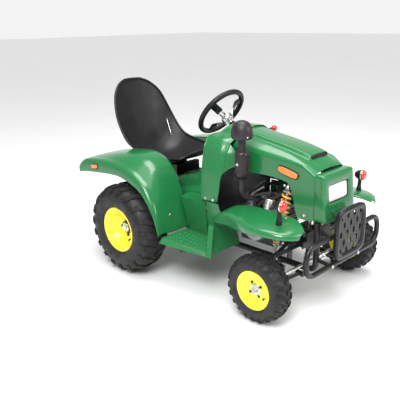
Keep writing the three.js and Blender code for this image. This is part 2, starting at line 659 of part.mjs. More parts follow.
// ---- seat ---------------------------------------------------------------------------------------
// Stations from the front lip to the top of the back: middle and edge of the shell, and half width.
function seat() {
  const stations = [
    { c: [176, 586], e: [188, 578], w: 168 },
    { c: [150, 570], e: [166, 570], w: 188 },
    { c: [70, 532], e: [84, 562], w: 202 },
    { c: [-27, 508], e: [-14, 562], w: 206 },
    { c: [-140, 496], e: [-120, 577], w: 206 },
    { c: [-225, 518], e: [-205, 600], w: 204 },
    { c: [-297, 602], e: [-262, 652], w: 200 },
    { c: [-347, 722], e: [-318, 736], w: 190 },
    { c: [-385, 832], e: [-362, 834], w: 160 },
    { c: [-406, 892], e: [-394, 890], w: 108 },
    { c: [-415, 914], e: [-409, 912], w: 56 },
  ];
  const cuts = 12;
  const rings = stations.map((s, i) => {
    const before = stations[Math.max(i - 1, 0)].c;
    const after = stations[Math.min(i + 1, stations.length - 1)].c;
    const length = Math.hypot(after[0] - before[0], after[1] - before[1]);
    const normal = [(after[1] - before[1]) / length, -(after[0] - before[0]) / length];
    const row = (offset) => Array.from({ length: cuts + 1 }, (_, k) => {
      const side = (2 * k) / cuts - 1;
      const blend = Math.abs(side) ** 2.6;
      const x = s.c[0] + (s.e[0] - s.c[0]) * blend + normal[0] * offset;
      const z = s.c[1] + (s.e[1] - s.c[1]) * blend + normal[1] * offset;
      return vec(x, side * s.w, z);
    });
    return [...row(3), ...row(-3).reverse()];
  });
  return seatSkin(rings);
}

// The seat's rings lie in leaning planes, so its two ends are closed by strips instead of flat lids.
function seatSkin(rings) {
  const count = rings[0].length;
  const index = [];
  for (let i = 0; i < rings.length - 1; i++) {
    for (let j = 0; j < count; j++) {
      const a = i * count + j;
      const b = i * count + ((j + 1) % count);
      index.push(a, b, a + count, b, b + count, a + count);
    }
  }
  const last = (rings.length - 1) * count;
  for (let j = 0; j < count / 2 - 1; j++) {
    const [a, b, c, d] = [j, j + 1, count - 2 - j, count - 1 - j];
    index.push(b, a, c, a, d, c);
    index.push(last + a, last + b, last + c, last + a, last + c, last + d);
  }
  const g = new THREE.BufferGeometry();
  const positions = new Float32Array(rings.flat().flatMap((p) => p.toArray()));
  g.setAttribute('position', new THREE.BufferAttribute(positions, 3));
  g.setIndex(index);
  return g;
}

function seatBracket() {
  const feet = [-1, 1].map((side) => box(-110, 38, side > 0 ? 60 : -84, side > 0 ? 84 : -60, 443, 456));
  const bridge = box(-100, -60, -84, 84, 450, 484);
  const front = box(10, 38, -84, 84, 450, 498);
  return join(...feet, bridge, front);
}

// ---- bumper, controls ---------------------------------------------------------------------------
function bumperLoop() {
  const corner = (loopHigh - loopLow) / 2;
  const corners = [[-1, loopHigh], [loopHalf, loopHigh], [loopHalf, loopLow], [-1, loopLow]];
  const half = bentTube(corners.map(([y, z]) => vec(bumperX, y, z)), 12, corner - 1, 22, 8);
  const start = rail.front + rail.radius + 2;
  const braces = [1, -1].flatMap((side) => [loopLow, loopHigh].map((z) => (
    rod(vec(bumperX, side * rail.y, z), vec(start, side * rail.y, z + 8), 9, 8))));
  return join(half, mirrorY(half), ...braces);
}

function bumperPlate() {
  const [half, low, high, depth] = [119, 245, 474, 20];
  const border = 18;
  const outline = roundedBox(-half, half, low, high, 44, 5);
  const inner = roundedBox(border - half, half - border, low + border, high - border, 28, 5);
  const window = plate(inner, 'x', frontEnd - depth - 10, depth + 20);
  const frame = cut(plate(outline, 'x', frontEnd - depth, depth), window);
  const inset = border - 2;
  const panelEdge = roundedBox(inset - half, half - inset, low + inset, high - inset, 30, 5);
  return join(frame, plate(panelEdge, 'x', frontEnd - 13, 4));
}

// Hand lever on the left of the cowl, with a ball knob.
function gearLever() {
  const knob = vec(406, 272, 688);
  const bend = knob.clone().setX(knob.x - 34);
  const pivot = vec(424, 262, 452);
  const boss = rod(vec(pivot.x, bodyHalf + seam, pivot.z), vec(pivot.x, pivot.y + 8, pivot.z), 12, 12);
  const stem = bentTube([pivot, bend.clone().setY(pivot.y + 4), knob], 5, 26, 10, 8);
  return join(stem, boss, new THREE.SphereGeometry(16, 14, 10).translate(...knob.toArray()));
}

// A small foot pedal behind the splash wall, hinged on a foot on the floor.
function pedal() {
  const y = 272;
  const foot = box(500, 526, y - 12, y + 12, floorZ + seam, floorZ + 9);
  const pad = lean(box(492, 497, y - 18, y + 18, 262, 300), 262, 0.3);
  return join(foot, pad, rod(vec(514, y, floorZ + 6), vec(490, y, 280), 4, 8));
}

// ---- assembly -----------------------------------------------------------------------------------
frontWheels();
rearWheels();
add('rear_axle', rearAxle(), steel());
addPair('lower_arm', wishbone(armZ.low, lowArm), black);
addPair('upper_arm', wishbone(armZ.high, highArm), black);
addPair('knuckle', knuckle(), castMetal);
addPair('tie_rod', tieRod(), steel);
addPair('front_shock', shock(), steel);
add('lower_steering_shaft', lowerShaft(), steel());
add('steering_shaft', upperShaft(), steel());
add('steering_wheel', steeringRim(), plastic());
add('steering_column', columnTube(), black());
addPair('frame_rail', frameRail(), black);
add('front_frame', frontFrame(), black());
add('footboard_tube', footTube(), black());
add('swing_arm', swingArm(), black());
add('hitch_plate', hitchPlate(), black());
add('engine', engineBlock(), castMetal());
add('stack', stack(), plastic());
add('hood', hood(), green());
add('nose', nose(), green());
add('headlight', headlight(), lampGlass());
add('cowl', cowl(), green());
add('firewall', firewall(), plastic());
add('tunnel', tunnel(), green());
addPair('footboard', footboard(), green);
addPair('rear_fender', rearFender(), green);
addPair('front_fender', frontFender(), green);
addPair('marker_lamp', markerLamp(), redLens);
add('seat', seat(), plastic());
add('seat_bracket', seatBracket(), black());
add('bumper_loop', bumperLoop(), black());
add('bumper_plate', bumperPlate(), black());
add('gear_lever', gearLever(), redLens());
addPair('pedal', pedal(), black);

vehicle.position.x = -(frontEnd + rearEnd) / 2;
export default vehicle;
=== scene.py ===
import math
import random

import bpy
import bmesh
from mathutils import Matrix, Vector


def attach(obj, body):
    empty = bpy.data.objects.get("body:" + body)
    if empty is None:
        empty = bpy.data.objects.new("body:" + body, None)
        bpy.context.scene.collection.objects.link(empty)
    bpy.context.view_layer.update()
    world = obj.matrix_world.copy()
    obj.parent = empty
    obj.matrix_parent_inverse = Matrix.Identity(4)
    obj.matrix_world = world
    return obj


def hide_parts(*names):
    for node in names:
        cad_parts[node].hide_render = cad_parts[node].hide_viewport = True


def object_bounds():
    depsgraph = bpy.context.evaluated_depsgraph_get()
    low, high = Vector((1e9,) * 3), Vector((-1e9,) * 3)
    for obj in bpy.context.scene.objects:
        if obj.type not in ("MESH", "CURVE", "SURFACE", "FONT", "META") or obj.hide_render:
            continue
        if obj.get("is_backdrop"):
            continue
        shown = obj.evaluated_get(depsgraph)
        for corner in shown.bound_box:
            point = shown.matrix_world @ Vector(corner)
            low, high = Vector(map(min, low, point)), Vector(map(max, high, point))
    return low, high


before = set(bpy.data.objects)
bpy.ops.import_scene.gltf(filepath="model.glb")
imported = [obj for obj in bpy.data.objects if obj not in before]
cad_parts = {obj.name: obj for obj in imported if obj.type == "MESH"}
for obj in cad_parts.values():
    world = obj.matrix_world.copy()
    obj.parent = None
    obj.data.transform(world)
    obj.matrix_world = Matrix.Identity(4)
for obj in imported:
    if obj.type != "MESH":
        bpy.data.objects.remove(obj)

cad_low, cad_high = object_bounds()
random.seed(7)

# Positions below are millimetres from the rear axle, +X forward, +Y left, +Z up.
MIDDLE = 309
WHEELBASE = 828
SIDES = (("left", 1), ("right", -1))
GREEN = (0.012, 0.155, 0.045)
YELLOW = (0.93, 0.78, 0.035)
PANEL = 4.0  # thickness of a moulded panel
STACK_AT = (590, -195)
RAIL_HALF = 105  # sideways distance of a frame rail from the middle
BUMPER_X = 1013
BUMPER_HALF, BUMPER_LOW, BUMPER_HIGH = 288, 222, 354
DUST_COLOUR = (0.30, 0.27, 0.22, 1.0)


def metres(point):
    return Vector(((point[0] - MIDDLE) / 1000, point[1] / 1000, point[2] / 1000))


# ---- materials ------------------------------------------------------------------------------------
def shade(colour, share):
    return tuple(min(1.0, c * share) for c in colour) + (1.0,)


def surface(name, colour, roughness, metallic=0.0, mottle=0.1, cloud=7.0, grain=260.0, relief=0.08,
            coat=0.0,
            dust=0.0, glow=0.0, ribs=0.0, rounded=0.0, shine=0.5):
    """A finish with clouded colour and gloss, fine relief and, low down, a little dust.
    ribs draws fine upright ribs, rounded softens edges by so many millimetres, shine is the bare gloss."""
    material = bpy.data.materials.new(name)
    material.use_nodes = True
    nodes, links = material.node_tree.nodes, material.node_tree.links
    shader = nodes["Principled BSDF"]
    shader.inputs["Metallic"].default_value = metallic
    shader.inputs["Specular IOR Level"].default_value = shine
    shader.inputs["Coat Weight"].default_value = coat
    shader.inputs["Coat Roughness"].default_value = 0.08
    place = nodes.new("ShaderNodeTexCoord")

    def noise(scale, detail):
        node = nodes.new("ShaderNodeTexNoise")
        node.inputs["Scale"].default_value = scale
        node.inputs["Detail"].default_value = detail
        links.new(place.outputs["Object"], node.inputs["Vector"])
        return node.outputs["Fac"]

    def spread(value, low, high, to_low, to_high):
        node = nodes.new("ShaderNodeMapRange")
        for key, number in zip(("From Min", "From Max", "To Min", "To Max"),
                               (low, high, to_low, to_high)):
            node.inputs[key].default_value = number
        links.new(value, node.inputs["Value"])
        return node.outputs["Result"]

    def blend(factor, first, second):
        node = nodes.new("ShaderNodeMix")
        node.data_type = "RGBA"
        links.new(factor, node.inputs["Factor"])
        for key, value in (("A", first), ("B", second)):
            socket = next(s for s in node.inputs if s.name == key and s.type == "RGBA")
            if isinstance(value, tuple):
                socket.default_value = value
            else:
                links.new(value, socket)
        return next(s for s in node.outputs if s.type == "RGBA")

    clouds = noise(cloud, 6.0)
    colour_out = blend(spread(clouds, 0.3, 0.7, 0.0, 1.0), shade(colour, 1 - mottle),
                       shade(colour, 1 + mottle))
    if dust:
        split = nodes.new("ShaderNodeSeparateXYZ")
        links.new(place.outputs["Object"], split.inputs["Vector"])
        low_down = spread(split.outputs["Z"], 0.05, 0.5, dust, 0.0)
        patch = nodes.new("ShaderNodeMath")
        patch.operation = "MULTIPLY"
        links.new(low_down, patch.inputs[0])
        links.new(spread(noise(22.0, 8.0), 0.35, 0.75, 0.1, 1.0), patch.inputs[1])
        colour_out = blend(patch.outputs[0], colour_out, DUST_COLOUR)
    links.new(colour_out, shader.inputs["Base Color"])
    if glow:
        links.new(colour_out, shader.inputs["Emission Color"])
        shader.inputs["Emission Strength"].default_value = glow
    links.new(spread(noise(cloud * 2.6, 5.0), 0.3, 0.7, roughness * 0.75, min(1.0, roughness * 1.3)),
              shader.inputs["Roughness"])
    bump = nodes.new("ShaderNodeBump")
    bump.inputs["Strength"].default_value = relief
    bump.inputs["Distance"].default_value = 0.001
    height = noise(grain, 4.0)
    if ribs:
        wave = nodes.new("ShaderNodeTexWave")
        wave.inputs["Scale"].default_value = ribs
        wave.bands_direction = "Y"
        links.new(place.outputs["Object"], wave.inputs["Vector"])
        height = wave.outputs["Fac"]
    links.new(height, bump.inputs["Height"])
    if rounded:
        soft = nodes.new("ShaderNodeBevel")
        soft.samples = 6
        soft.inputs["Radius"].default_value = rounded / 1000
        links.new(soft.outputs["Normal"], bump.inputs["Normal"])
    links.new(bump.outputs["Normal"], shader.inputs["Normal"])
    return material


M = {
    "green": surface("green_moulded_panel", GREEN, 0.22, coat=0.35, mottle=0.05, cloud=3.0, grain=300.0,
                     relief=0.03, dust=0.05),
    "green_floor": surface("green_floor_panel", GREEN, 0.26, coat=0.25, mottle=0.05, cloud=3.0,
                           grain=300.0,
                           relief=0.04, dust=0.06, rounded=4.0),
    "yellow": surface("yellow_paint", YELLOW, 0.3, coat=0.3, mottle=0.05, grain=340.0, relief=0.04,
                      dust=0.04),
    "rubber": surface("tyre_rubber", (0.012, 0.0125, 0.014), 0.55, shine=0.35, mottle=0.22, cloud=14.0,
                      grain=420.0, relief=0.22, dust=0.07),
    "tread": surface("tread_rubber", (0.008, 0.008, 0.009), 0.7, shine=0.3, mottle=0.3, cloud=18.0,
                     grain=300.0, relief=0.35, dust=0.12),
    "frame": surface("black_frame_paint", (0.006, 0.006, 0.007), 0.33, shine=0.4, mottle=0.2, grain=200.0,
                     relief=0.08, dust=0.05),
    "plastic": surface("black_plastic", (0.006, 0.006, 0.007), 0.42, shine=0.35, mottle=0.2, grain=480.0,
                       relief=0.15),
    "seat": surface("seat_plastic", (0.006, 0.006, 0.007), 0.4, shine=0.35, mottle=0.12, cloud=5.0,
                    grain=520.0, relief=0.2),
    "stack": surface("warm_black_plastic", (0.024, 0.016, 0.02), 0.38, shine=0.4, mottle=0.16,
                     grain=400.0, relief=0.12),
    "steel": surface("bright_steel", (0.62, 0.62, 0.6), 0.26, metallic=0.95, mottle=0.12, grain=160.0,
                     relief=0.06),
    "cast": surface("cast_alloy", (0.42, 0.43, 0.44), 0.46, metallic=0.8, mottle=0.2, grain=240.0,
                    relief=0.25),
    "engine": surface("engine_black", (0.018, 0.018, 0.02), 0.4, metallic=0.3, mottle=0.35, cloud=16.0,
                      grain=180.0, relief=0.3),
    "spring": surface("orange_spring_paint", (0.98, 0.42, 0.05), 0.3, mottle=0.12, coat=0.3),
    # The amber reflector is no lamp: its glow is a painted highlight, light it gives off of its own.
    "amber": surface("amber_reflector", (0.95, 0.2, 0.02), 0.16, mottle=0.08, coat=0.6, glow=0.12,
                     relief=0.4, ribs=60.0),
    "red": surface("red_lens", (0.75, 0.03, 0.02), 0.14, mottle=0.12, coat=0.8, glow=0.1),
    "knob": surface("red_knob", (0.6, 0.02, 0.015), 0.2, mottle=0.1, coat=0.6),
    "lens": surface("clear_lens", (0.88, 0.84, 0.84), 0.12, mottle=0.05, coat=0.5, glow=0.12, relief=0.5,
                    ribs=30.0),
    "white": surface("white_tank_plastic", (0.75, 0.75, 0.72), 0.35, mottle=0.06, dust=0.1),
    "hose": surface("black_hose", (0.02, 0.02, 0.02), 0.5, mottle=0.2, grain=300.0, relief=0.2),
    "chain": surface("oiled_chain", (0.16, 0.14, 0.11), 0.4, metallic=0.8, mottle=0.3, grain=200.0,
                     relief=0.3),
    "floor": surface("pale_floor", (0.86, 0.86, 0.86), 0.75, mottle=0.012, cloud=0.8, grain=60.0,
                     relief=0.01),
}


# ---- shapes ---------------------------------------------------------------------------------------
def smooth_line(points, steps=6):
    """More points along a smooth line through the given ones."""
    ends = [points[0], *points, points[-1]]
    line = []
    for a, b, c, d in zip(ends, ends[1:], ends[2:], ends[3:]):
        for i in range(steps):
            t = i / steps
            line.append(tuple(
                0.5 * (2 * q + (r - p) * t + (2 * p - 5 * q + 4 * r - s) * t * t
                       + (3 * q - p - 3 * r + s) * t ** 3)
                for p, q, r, s in zip(a, b, c, d)))
    return line + [tuple(points[-1])]


def rounded_path(corners, radius, steps=6):
    """Corner points of a bent bar, each corner turned into an arc."""
    path = [Vector(corners[0])]
    for before, corner, after in zip(corners, corners[1:], corners[2:]):
        corner = Vector(corner)
        start = corner + (Vector(before) - corner).normalized() * radius
        end = corner + (Vector(after) - corner).normalized() * radius
        for i in range(steps + 1):
            t = i / steps
            path.append(start * (1 - t) ** 2 + corner * 2 * t * (1 - t) + end * t * t)
    return path + [Vector(corners[-1])]


def oval(half_a, half_b, power=2.0, count=48):
    """Points round an oval; a high power squares it."""
    ring = []
    for i in range(count):
        turn = 2 * math.pi * i / count
        c, s = math.cos(turn), math.sin(turn)
        ring.append((math.copysign(abs(c) ** (2 / power), c) * half_a,
                     math.copysign(abs(s) ** (2 / power), s) * half_b))
    return ring


class Shape:
    """Vertices and faces of one piece, gathered part by part."""

    def __init__(self):
        self.points, self.faces, self.paint = [], [], []

    def add(self, points, faces, paint=0):
        start = len(self.points)
        self.points += [Vector(p) for p in points]
        self.faces += [[start + i for i in face] for face in faces]
        self.paint += [paint] * len(faces)
        return self

    def rings(self, rings, paint=0, closed=True, wrap=False, lids=True):
        """A skin through rings or rows of points."""
        n = len(rings[0])
        faces = []
        for i in range(len(rings) - (0 if wrap else 1)):
            k = (i + 1) % len(rings)
            for j in range(n if closed else n - 1):
                m = (j + 1) % n
                faces.append((i * n + j, i * n + m, k * n + m, k * n + j))
        if lids and closed and not wrap:
            faces.append(tuple(reversed(range(n))))
            faces.append(tuple((len(rings) - 1) * n + j for j in range(n)))
        return self.add([p for ring in rings for p in ring], faces, paint)

    def turned(self, profile, centre, axis=(0, 1, 0), sides=48, paint=0, loop=False):
        """A turned part: profile points are (radius, distance along the axis)."""
        spin = Vector((0, 0, 1)).rotation_difference(Vector(axis)).to_matrix()
        rings = []
        for radius, along in profile:
            rings.append([Vector(centre) + spin @ Vector((
                radius * math.cos(2 * math.pi * i / sides), radius * math.sin(2 * math.pi * i / sides),
                along))
                for i in range(sides)])
        return self.rings(rings, paint, wrap=loop, lids=not loop)

    def tube(self, path, radius, sides=14, paint=0, squash=1.0):
        """A round bar along a path; radius may be a list."""
        path = [Vector(p) for p in path]
        radii = radius if isinstance(radius, (list, tuple)) else [radius] * len(path)
        along = (path[1] - path[0]).normalized()
        across = along.orthogonal().normalized()
        rings = []
        for i, point in enumerate(path):
            new = (path[min(i + 1, len(path) - 1)] - path[max(i - 1, 0)]).normalized()
            across = (across - new * across.dot(new)).normalized()
            up = new.cross(across)
            rings.append([point + (across * math.cos(2 * math.pi * k / sides) * squash
                                   + up * math.sin(2 * math.pi * k / sides)) * radii[i]
                          for k in range(sides)])
        return self.rings(rings, paint)

    def block(self, low, high, paint=0):
        xs, ys, zs = zip(low, high)
        points = [(x, y, z) for x in xs for y in ys for z in zs]
        faces = [(0, 1, 3, 2), (4, 6, 7, 5), (0, 4, 5, 1), (2, 3, 7, 6), (0, 2, 6, 4), (1, 5, 7, 3)]
        return self.add(points, faces, paint)

    def bolt(self, centre, axis, radius=6.5, height=5, paint=0):
        """A hexagon head on a washer."""
        self.turned([(radius * 1.45, -0.5), (radius * 1.45, 1.2), (radius * 1.3, 1.8)], centre, axis, 20,
                    paint)
        return self.turned([(radius, 0), (radius, height - 1), (radius * 0.86, height)], centre, axis, 6,
                           paint)

    def dome(self, centre, axis, radius, height, paint=0, sides=16, steps=4):
        """A low round head, such as a rivet or a button."""
        arc = [(max(radius * math.cos(math.pi / 2 * i / steps), 0.05),
                height * math.sin(math.pi / 2 * i / steps))
               for i in range(steps + 1)]
        return self.turned([(radius, -1)] + arc, centre, axis, sides, paint)

    def mirrored(self):
        other = Shape()
        other.points = [Vector((p.x, -p.y, p.z)) for p in self.points]
        other.faces = [list(reversed(face)) for face in self.faces]
        other.paint = list(self.paint)
        return other


def place(name, mesh, body, slot, replaces):
    thing = bpy.data.objects.new(name, mesh)
    bpy.context.scene.collection.objects.link(thing)
    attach(thing, body)
    if replaces:
        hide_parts(*replaces)
    return thing


def piece(name, shape, finishes, body="chassis", slot=None, replaces=(), bevel=0.0, smooth=38):
    """Turns a shape into a shown piece that rides on a body of the frame."""
    mesh = bpy.data.meshes.new(name)
    mesh.from_pydata([metres(p) for p in shape.points], [], shape.faces)
    for finish in finishes.split():
        mesh.materials.append(M[finish])
    for face, paint in zip(mesh.polygons, shape.paint):
        face.material_index = paint
    bm = bmesh.new()
    bm.from_mesh(mesh)
    bmesh.ops.remove_doubles(bm, verts=bm.verts, dist=1e-6)
    bmesh.ops.recalc_face_normals(bm, faces=bm.faces)
    for face in bm.faces:
        face.smooth = True
    bm.to_mesh(mesh)
    bm.free()
    mesh.set_sharp_from_angle(angle=math.radians(smooth))
    thing = place(name, mesh, body, slot, replaces)
    if bevel:
        edge = thing.modifiers.new("edges", "BEVEL")
        edge.width, edge.segments = bevel / 1000, 2
        edge.limit_method, edge.angle_limit = "ANGLE", math.radians(35)
        edge.harden_normals = True
    return thing


def panel(name, rows, finish, inside, slot="green_body", replaces=(), body="chassis", creased=(),
          thick=PANEL,
          levels=2, columns=()):
    """A moulded sheet through rows of points, rounded by subdivision and given its thickness inward.
    creased names the columns that stay sharp and columns the rows that do."""
    n = len(rows[0])
    points = [Vector(p) for row in rows for p in row]
    faces = [(i * n + j, i * n + j + 1, (i + 1) * n + j + 1, (i + 1) * n + j)
             for i in range(len(rows) - 1) for j in range(n - 1)]
    outward = 0.0
    for a, b, c, d in faces:
        middle = (points[a] + points[b] + points[c] + points[d]) / 4
        outward += (points[c] - points[a]).cross(points[d] - points[b]).dot(middle - Vector(inside))
    if outward < 0:
        faces = [tuple(reversed(face)) for face in faces]
    mesh = bpy.data.meshes.new(name)
    mesh.from_pydata([metres(p) for p in points], [], faces)
    mesh.materials.append(M[finish])
    crease = mesh.attributes.new("crease_edge", "FLOAT", "EDGE")
    for edge, value in zip(mesh.edges, crease.data):
        (ra, ca), (rb, cb) = divmod(edge.vertices[0], n), divmod(edge.vertices[1], n)
        sharp = (ca == cb and (ca in creased or n - 1 - ca in creased)) or (ra == rb and ra in columns)
        value.value = 0.75 if sharp else 0.0
    for face in mesh.polygons:
        face.use_smooth = True
    thing = place(name, mesh, body, slot, replaces)
    rounder = thing.modifiers.new("rounding", "SUBSURF")
    rounder.levels = rounder.render_levels = levels
    sheet = thing.modifiers.new("sheet", "SOLIDIFY")
    sheet.thickness, sheet.offset, sheet.use_even_offset = thick / 1000, -1.0, False
    return thing


def both(name, make, finishes, slot, replaces=(), body="chassis", **more):
    """A left piece and its mirror image; {} in a name stands for the side."""
    for side, sign in SIDES:
        shape = make()
        piece(f"{name}_{side}", shape if sign > 0 else shape.mirrored(), finishes, body.format(side),
              slot,
              tuple(n.format(side) for n in replaces), **more)


# ---- wheels ---------------------------------------------------------------------------------------
FRONT = {"x": WHEELBASE, "y": 355, "r": 152, "profile": [
    (144, 0), (143, 18), (139, 33), (131, 44), (118, 51), (104, 52), (94, 49), (87, 44), (82, 38),
    (79, 32)]}
REAR = {"x": 0, "y": 392, "r": 229, "profile": [
    (218, 0), (217, 28), (213, 50), (204, 68), (188, 80), (165, 86), (142, 85), (126, 79), (116, 71),
    (104, 56)]}


def tyre(size, blocks):
    """The carcass and its tread blocks. A block row is (count, start, end, width, height, skew, offset)."""
    half = smooth_line(size["profile"], 6)
    centre = (size["x"], size["y"], size["r"])
    shape = Shape()
    whole = [(r, -y) for r, y in reversed(half[1:])] + half
    shape.turned(whole, centre, sides=96, loop=True)
    lengths = [0.0]
    for (ra, ya), (rb, yb) in zip(half, half[1:]):
        lengths.append(lengths[-1] + math.hypot(rb - ra, yb - ya))

    def at(s):
        i = next((k for k in range(1, len(half)) if lengths[k] >= s), len(half) - 1)
        t = (s - lengths[i - 1]) / (lengths[i] - lengths[i - 1])
        (ra, ya), (rb, yb) = half[i - 1], half[i]
        tangent = Vector((rb - ra, yb - ya)).normalized()
        return ra + (rb - ra) * t, ya + (yb - ya) * t, (-tangent.y * -1, tangent.x * -1)

    for count, start, end, width, height, skew, offset in blocks:
        for side in (1, -1):
            for k in range(count):
                base = 2 * math.pi * (k + offset + (0.5 if side < 0 else 0.0)) / count
                rows = []
                steps = 6
                for i in range(steps + 1):
                    share = i / steps
                    r, y, (nr, ny) = at(start + (end - start) * share)
                    turn = base + skew * share
                    taper = 1.0 if share < 0.7 else 1.0 - 0.35 * (share - 0.7) / 0.3
                    row = []
                    for lift, part in ((-3, 1.0), (height * 0.75, 0.92), (height, 0.74), (height, -0.74),
                                       (height * 0.75, -0.92), (-3, -1.0)):
                        h = lift * (taper if lift > 0 else 1)
                        angle = turn + part * width / 2 / r
                        rad = r + nr * h
                        row.append((centre[0] + rad * math.cos(angle), centre[1] + side * (y + ny * h),
                                    centre[2] + rad * math.sin(angle)))
                    rows.append(row)
                shape.rings(rows, paint=1)
    return shape


REAR_BLOCKS = ((19, 3, 62, 30, 10.5, 0.10, 0.0), (19, 66, 96, 27, 8.5, 0.06, 0.28))
FRONT_BLOCKS = ((22, 2, 22, 17, 7.0, 0.05, 0.0), (22, 27, 52, 18, 6.5, 0.04, 0.3))


def rear_rim():
    shape = Shape()
    outside = [(16, 10), (44, 10), (52, 11), (64, 20), (78, 38), (90, 57), (95, 62), (99, 64), (101, 69),
               (108, 73),
               (113, 73), (115.5, 70), (114, 65), (106, 57), (103, 53)]
    inside = [(102, -53), (114, -66), (113, -72), (108, -72), (97, -53), (97, 40), (88, 44), (74, 26),
              (60, 6), (26, 4),
              (26, -22), (16, -22)]
    shape.turned(outside + inside, (0, REAR["y"], REAR["r"]), sides=96, loop=True)
    return shape


def rear_hub():
    shape = Shape()
    y, z = REAR["y"] + 10, REAR["r"]
    shape.turned([(15, 0), (33, 0), (34, 3), (32, 7), (27, 8), (15, 8)], (0, y, z), sides=40, paint=1,
                 loop=True)
    shape.turned([(24, 2), (24, 13), (21, 16), (15, 17), (14, 22), (0.1, 22)], (0, y, z), sides=32)
    for k in range(4):
        turn = math.pi / 2 * k + 0.08
        shape.bolt((42 * math.cos(turn), y, z + 42 * math.sin(turn)), (0, 1, 0), 5.5, 7, paint=1)
    shape.tube([(84, y + 46, z - 30), (88, y + 66, z - 32)], 4, 10, paint=1)
    return shape


def front_rim():
    shape = Shape()
    lip, face = 44, 24
    outside = [(11, face), (32, face), (40, face + 1), (50, face + 5), (60, face + 12), (67, lip - 6),
               (71, lip - 4),
               (74, lip - 1), (81, lip + 1), (86, lip + 1), (88.5, lip - 2), (87, lip - 6), (81, 36),
               (78, 32)]
    inside = [(78, -32), (86, -42), (84, -44), (73, -32), (73, 8), (62, 22), (48, 19), (23, 18), (23, -6),
              (11, -6)]
    shape.turned(outside + inside, (WHEELBASE, FRONT["y"], FRONT["r"]), sides=80, loop=True)
    return shape


def front_cap():
    shape = Shape()
    centre = (WHEELBASE, FRONT["y"] + 24, FRONT["r"])
    shape.turned([(12, -1), (26, -1), (26, 3), (22, 6), (12, 6)], centre, sides=32, loop=True)
    for k in range(4):
        turn = math.pi / 2 * k + 0.6
        shape.bolt((centre[0] + 34 * math.cos(turn), centre[1], centre[2] + 34 * math.sin(turn)),
                   (0, 1, 0), 4.5, 5, 1)
    shape.tube([(WHEELBASE + 56, centre[1] + 8, centre[2] - 20),
                (WHEELBASE + 58, centre[1] + 24, centre[2] - 20)], 3.5, 10, 1)
    return shape


both("tyre_front", lambda: tyre(FRONT, FRONT_BLOCKS), "rubber tread", "tyre", ("front_tyre_{}",),
     "front_wheel_{}")
both("tyre_rear", lambda: tyre(REAR, REAR_BLOCKS), "rubber tread", "tyre", ("rear_tyre_{}",),
     "rear_wheels")
both("rim_front", front_rim, "yellow", "wheel_yellow", ("front_rim_{}",), "front_wheel_{}")
both("rim_rear", rear_rim, "yellow", "wheel_yellow", ("rear_rim_{}",), "rear_wheels")
both("hub_cap_front", front_cap, "steel plastic", "bright_steel", (), "front_wheel_{}", bevel=0.6)
both("hub_rear", rear_hub, "steel plastic", "bright_steel", (), "rear_wheels", bevel=0.6)


def axle():
    shape = Shape()
    z = REAR["r"]
    shape.turned([(14, -398), (15, -396), (15, 396), (14, 398)], (0, 0, z), sides=32)
    teeth = []
    for i in range(72):
        turn = 2 * math.pi * i / 72
        radius = 80 if i % 3 == 0 else 75
        teeth.append((radius * math.cos(turn), radius * math.sin(turn)))
    shape.rings([[(a, y, z + b) for a, b in teeth] for y in (-72, -66)], paint=1)
    shape.turned([(60, 92), (82, 92), (82, 96), (60, 96)], (0, 0, z), sides=64, loop=True)
    shape.turned([(15, 84), (34, 84), (62, 91), (62, 94), (34, 100), (15, 100)], (0, 0, z), sides=40,
                 paint=1)
    shape.turned([(15, -80), (30, -80), (30, -60), (15, -60)], (0, 0, z), sides=32, paint=1)
    return shape


piece("axle_rear", axle(), "steel chain", "rear_wheels", "bright_steel", ("rear_axle",), bevel=0.8)


# ---- body panels ----------------------------------------------------------------------------------
HOOD_STATIONS = [  # x, half width, lower edge, shoulder, top
    (488, 146, 584, 672, 723), (536, 145, 578, 670, 716), (583, 144, 573, 668, 708),
    (640, 141, 571, 664, 700),
    (692, 137, 571, 660, 692), (740, 133, 567, 656, 684), (786, 129, 560, 652, 675),
    (807, 127, 545, 650, 669),
    (821, 126, 500, 649, 666), (833, 124, 436, 648, 663), (845, 123, 404, 646, 659),
    (861, 121.5, 403, 644, 654)]
HOOD_FRONT = [(863, 121.5, 403, 644, 653), (875, 120, 403, 637, 648), (890, 118, 403, 627, 639),
              (908, 115, 404, 614, 629), (923, 113, 405, 601, 617)]


def hood_row(x, w, low, shoulder, top, rise):
    """One section of the hood, with its bulge raised by rise."""
    step = (shoulder - low) / 4
    half = [(w, low), (w, low + 4), (w, low + step), (w, low + 2 * step), (w, low + 3 * step),
            (w - 0.5, shoulder - 3),
            (w - 8, shoulder + (top - shoulder) * 0.35), (94, top - 1), (76, top + 2),
            (70, top + 4 + rise * 0.2),
            (64, top + rise - 2), (56, top + rise + 1), (28, top + rise + 3), (0, top + rise + 4)]
    row = [(x, y, z) for y, z in half]
    return row + [(x, -y, z) for x, y, z in reversed(row[:-1])]


hood_rows = [hood_row(*s, 18) for s in HOOD_STATIONS] + [hood_row(*s, 2) for s in HOOD_FRONT]
panel("hood_skin", hood_rows, "green", (700, 0, 560), replaces=("hood",), creased=(5, 8, 10, 11),
      columns=(11, 12), levels=2)


def ring_at(x, half_y, low, high, power, lean=0.0):
    """A squared ring across the vehicle; lean moves its foot forward."""
    centre = (low + high) / 2
    return [(x + (601 - (centre + b)) * lean, a, centre + b)
            for a, b in oval(half_y, (high - low) / 2, power, 64)]


def nose_shell():
    shape = Shape()
    shape.rings([
        ring_at(925, 109, 409, 604, 22), ring_at(925, 113, 405, 608, 22),
        ring_at(928, 113.5, 404.5, 608.5, 22, 0.01),
        ring_at(960, 113, 405, 608, 22, 0.1), ring_at(963, 112, 406, 607, 20, 0.1),
        ring_at(964, 109, 409, 604, 18, 0.1),
        ring_at(964, 86, 476, 571, 10, 0.1), ring_at(963, 82, 480, 567, 10, 0.1),
        ring_at(957, 79.5, 483, 564, 10, 0.1),
        ring_at(950, 79.5, 483, 564, 10, 0.1)], lids=False)
    return shape


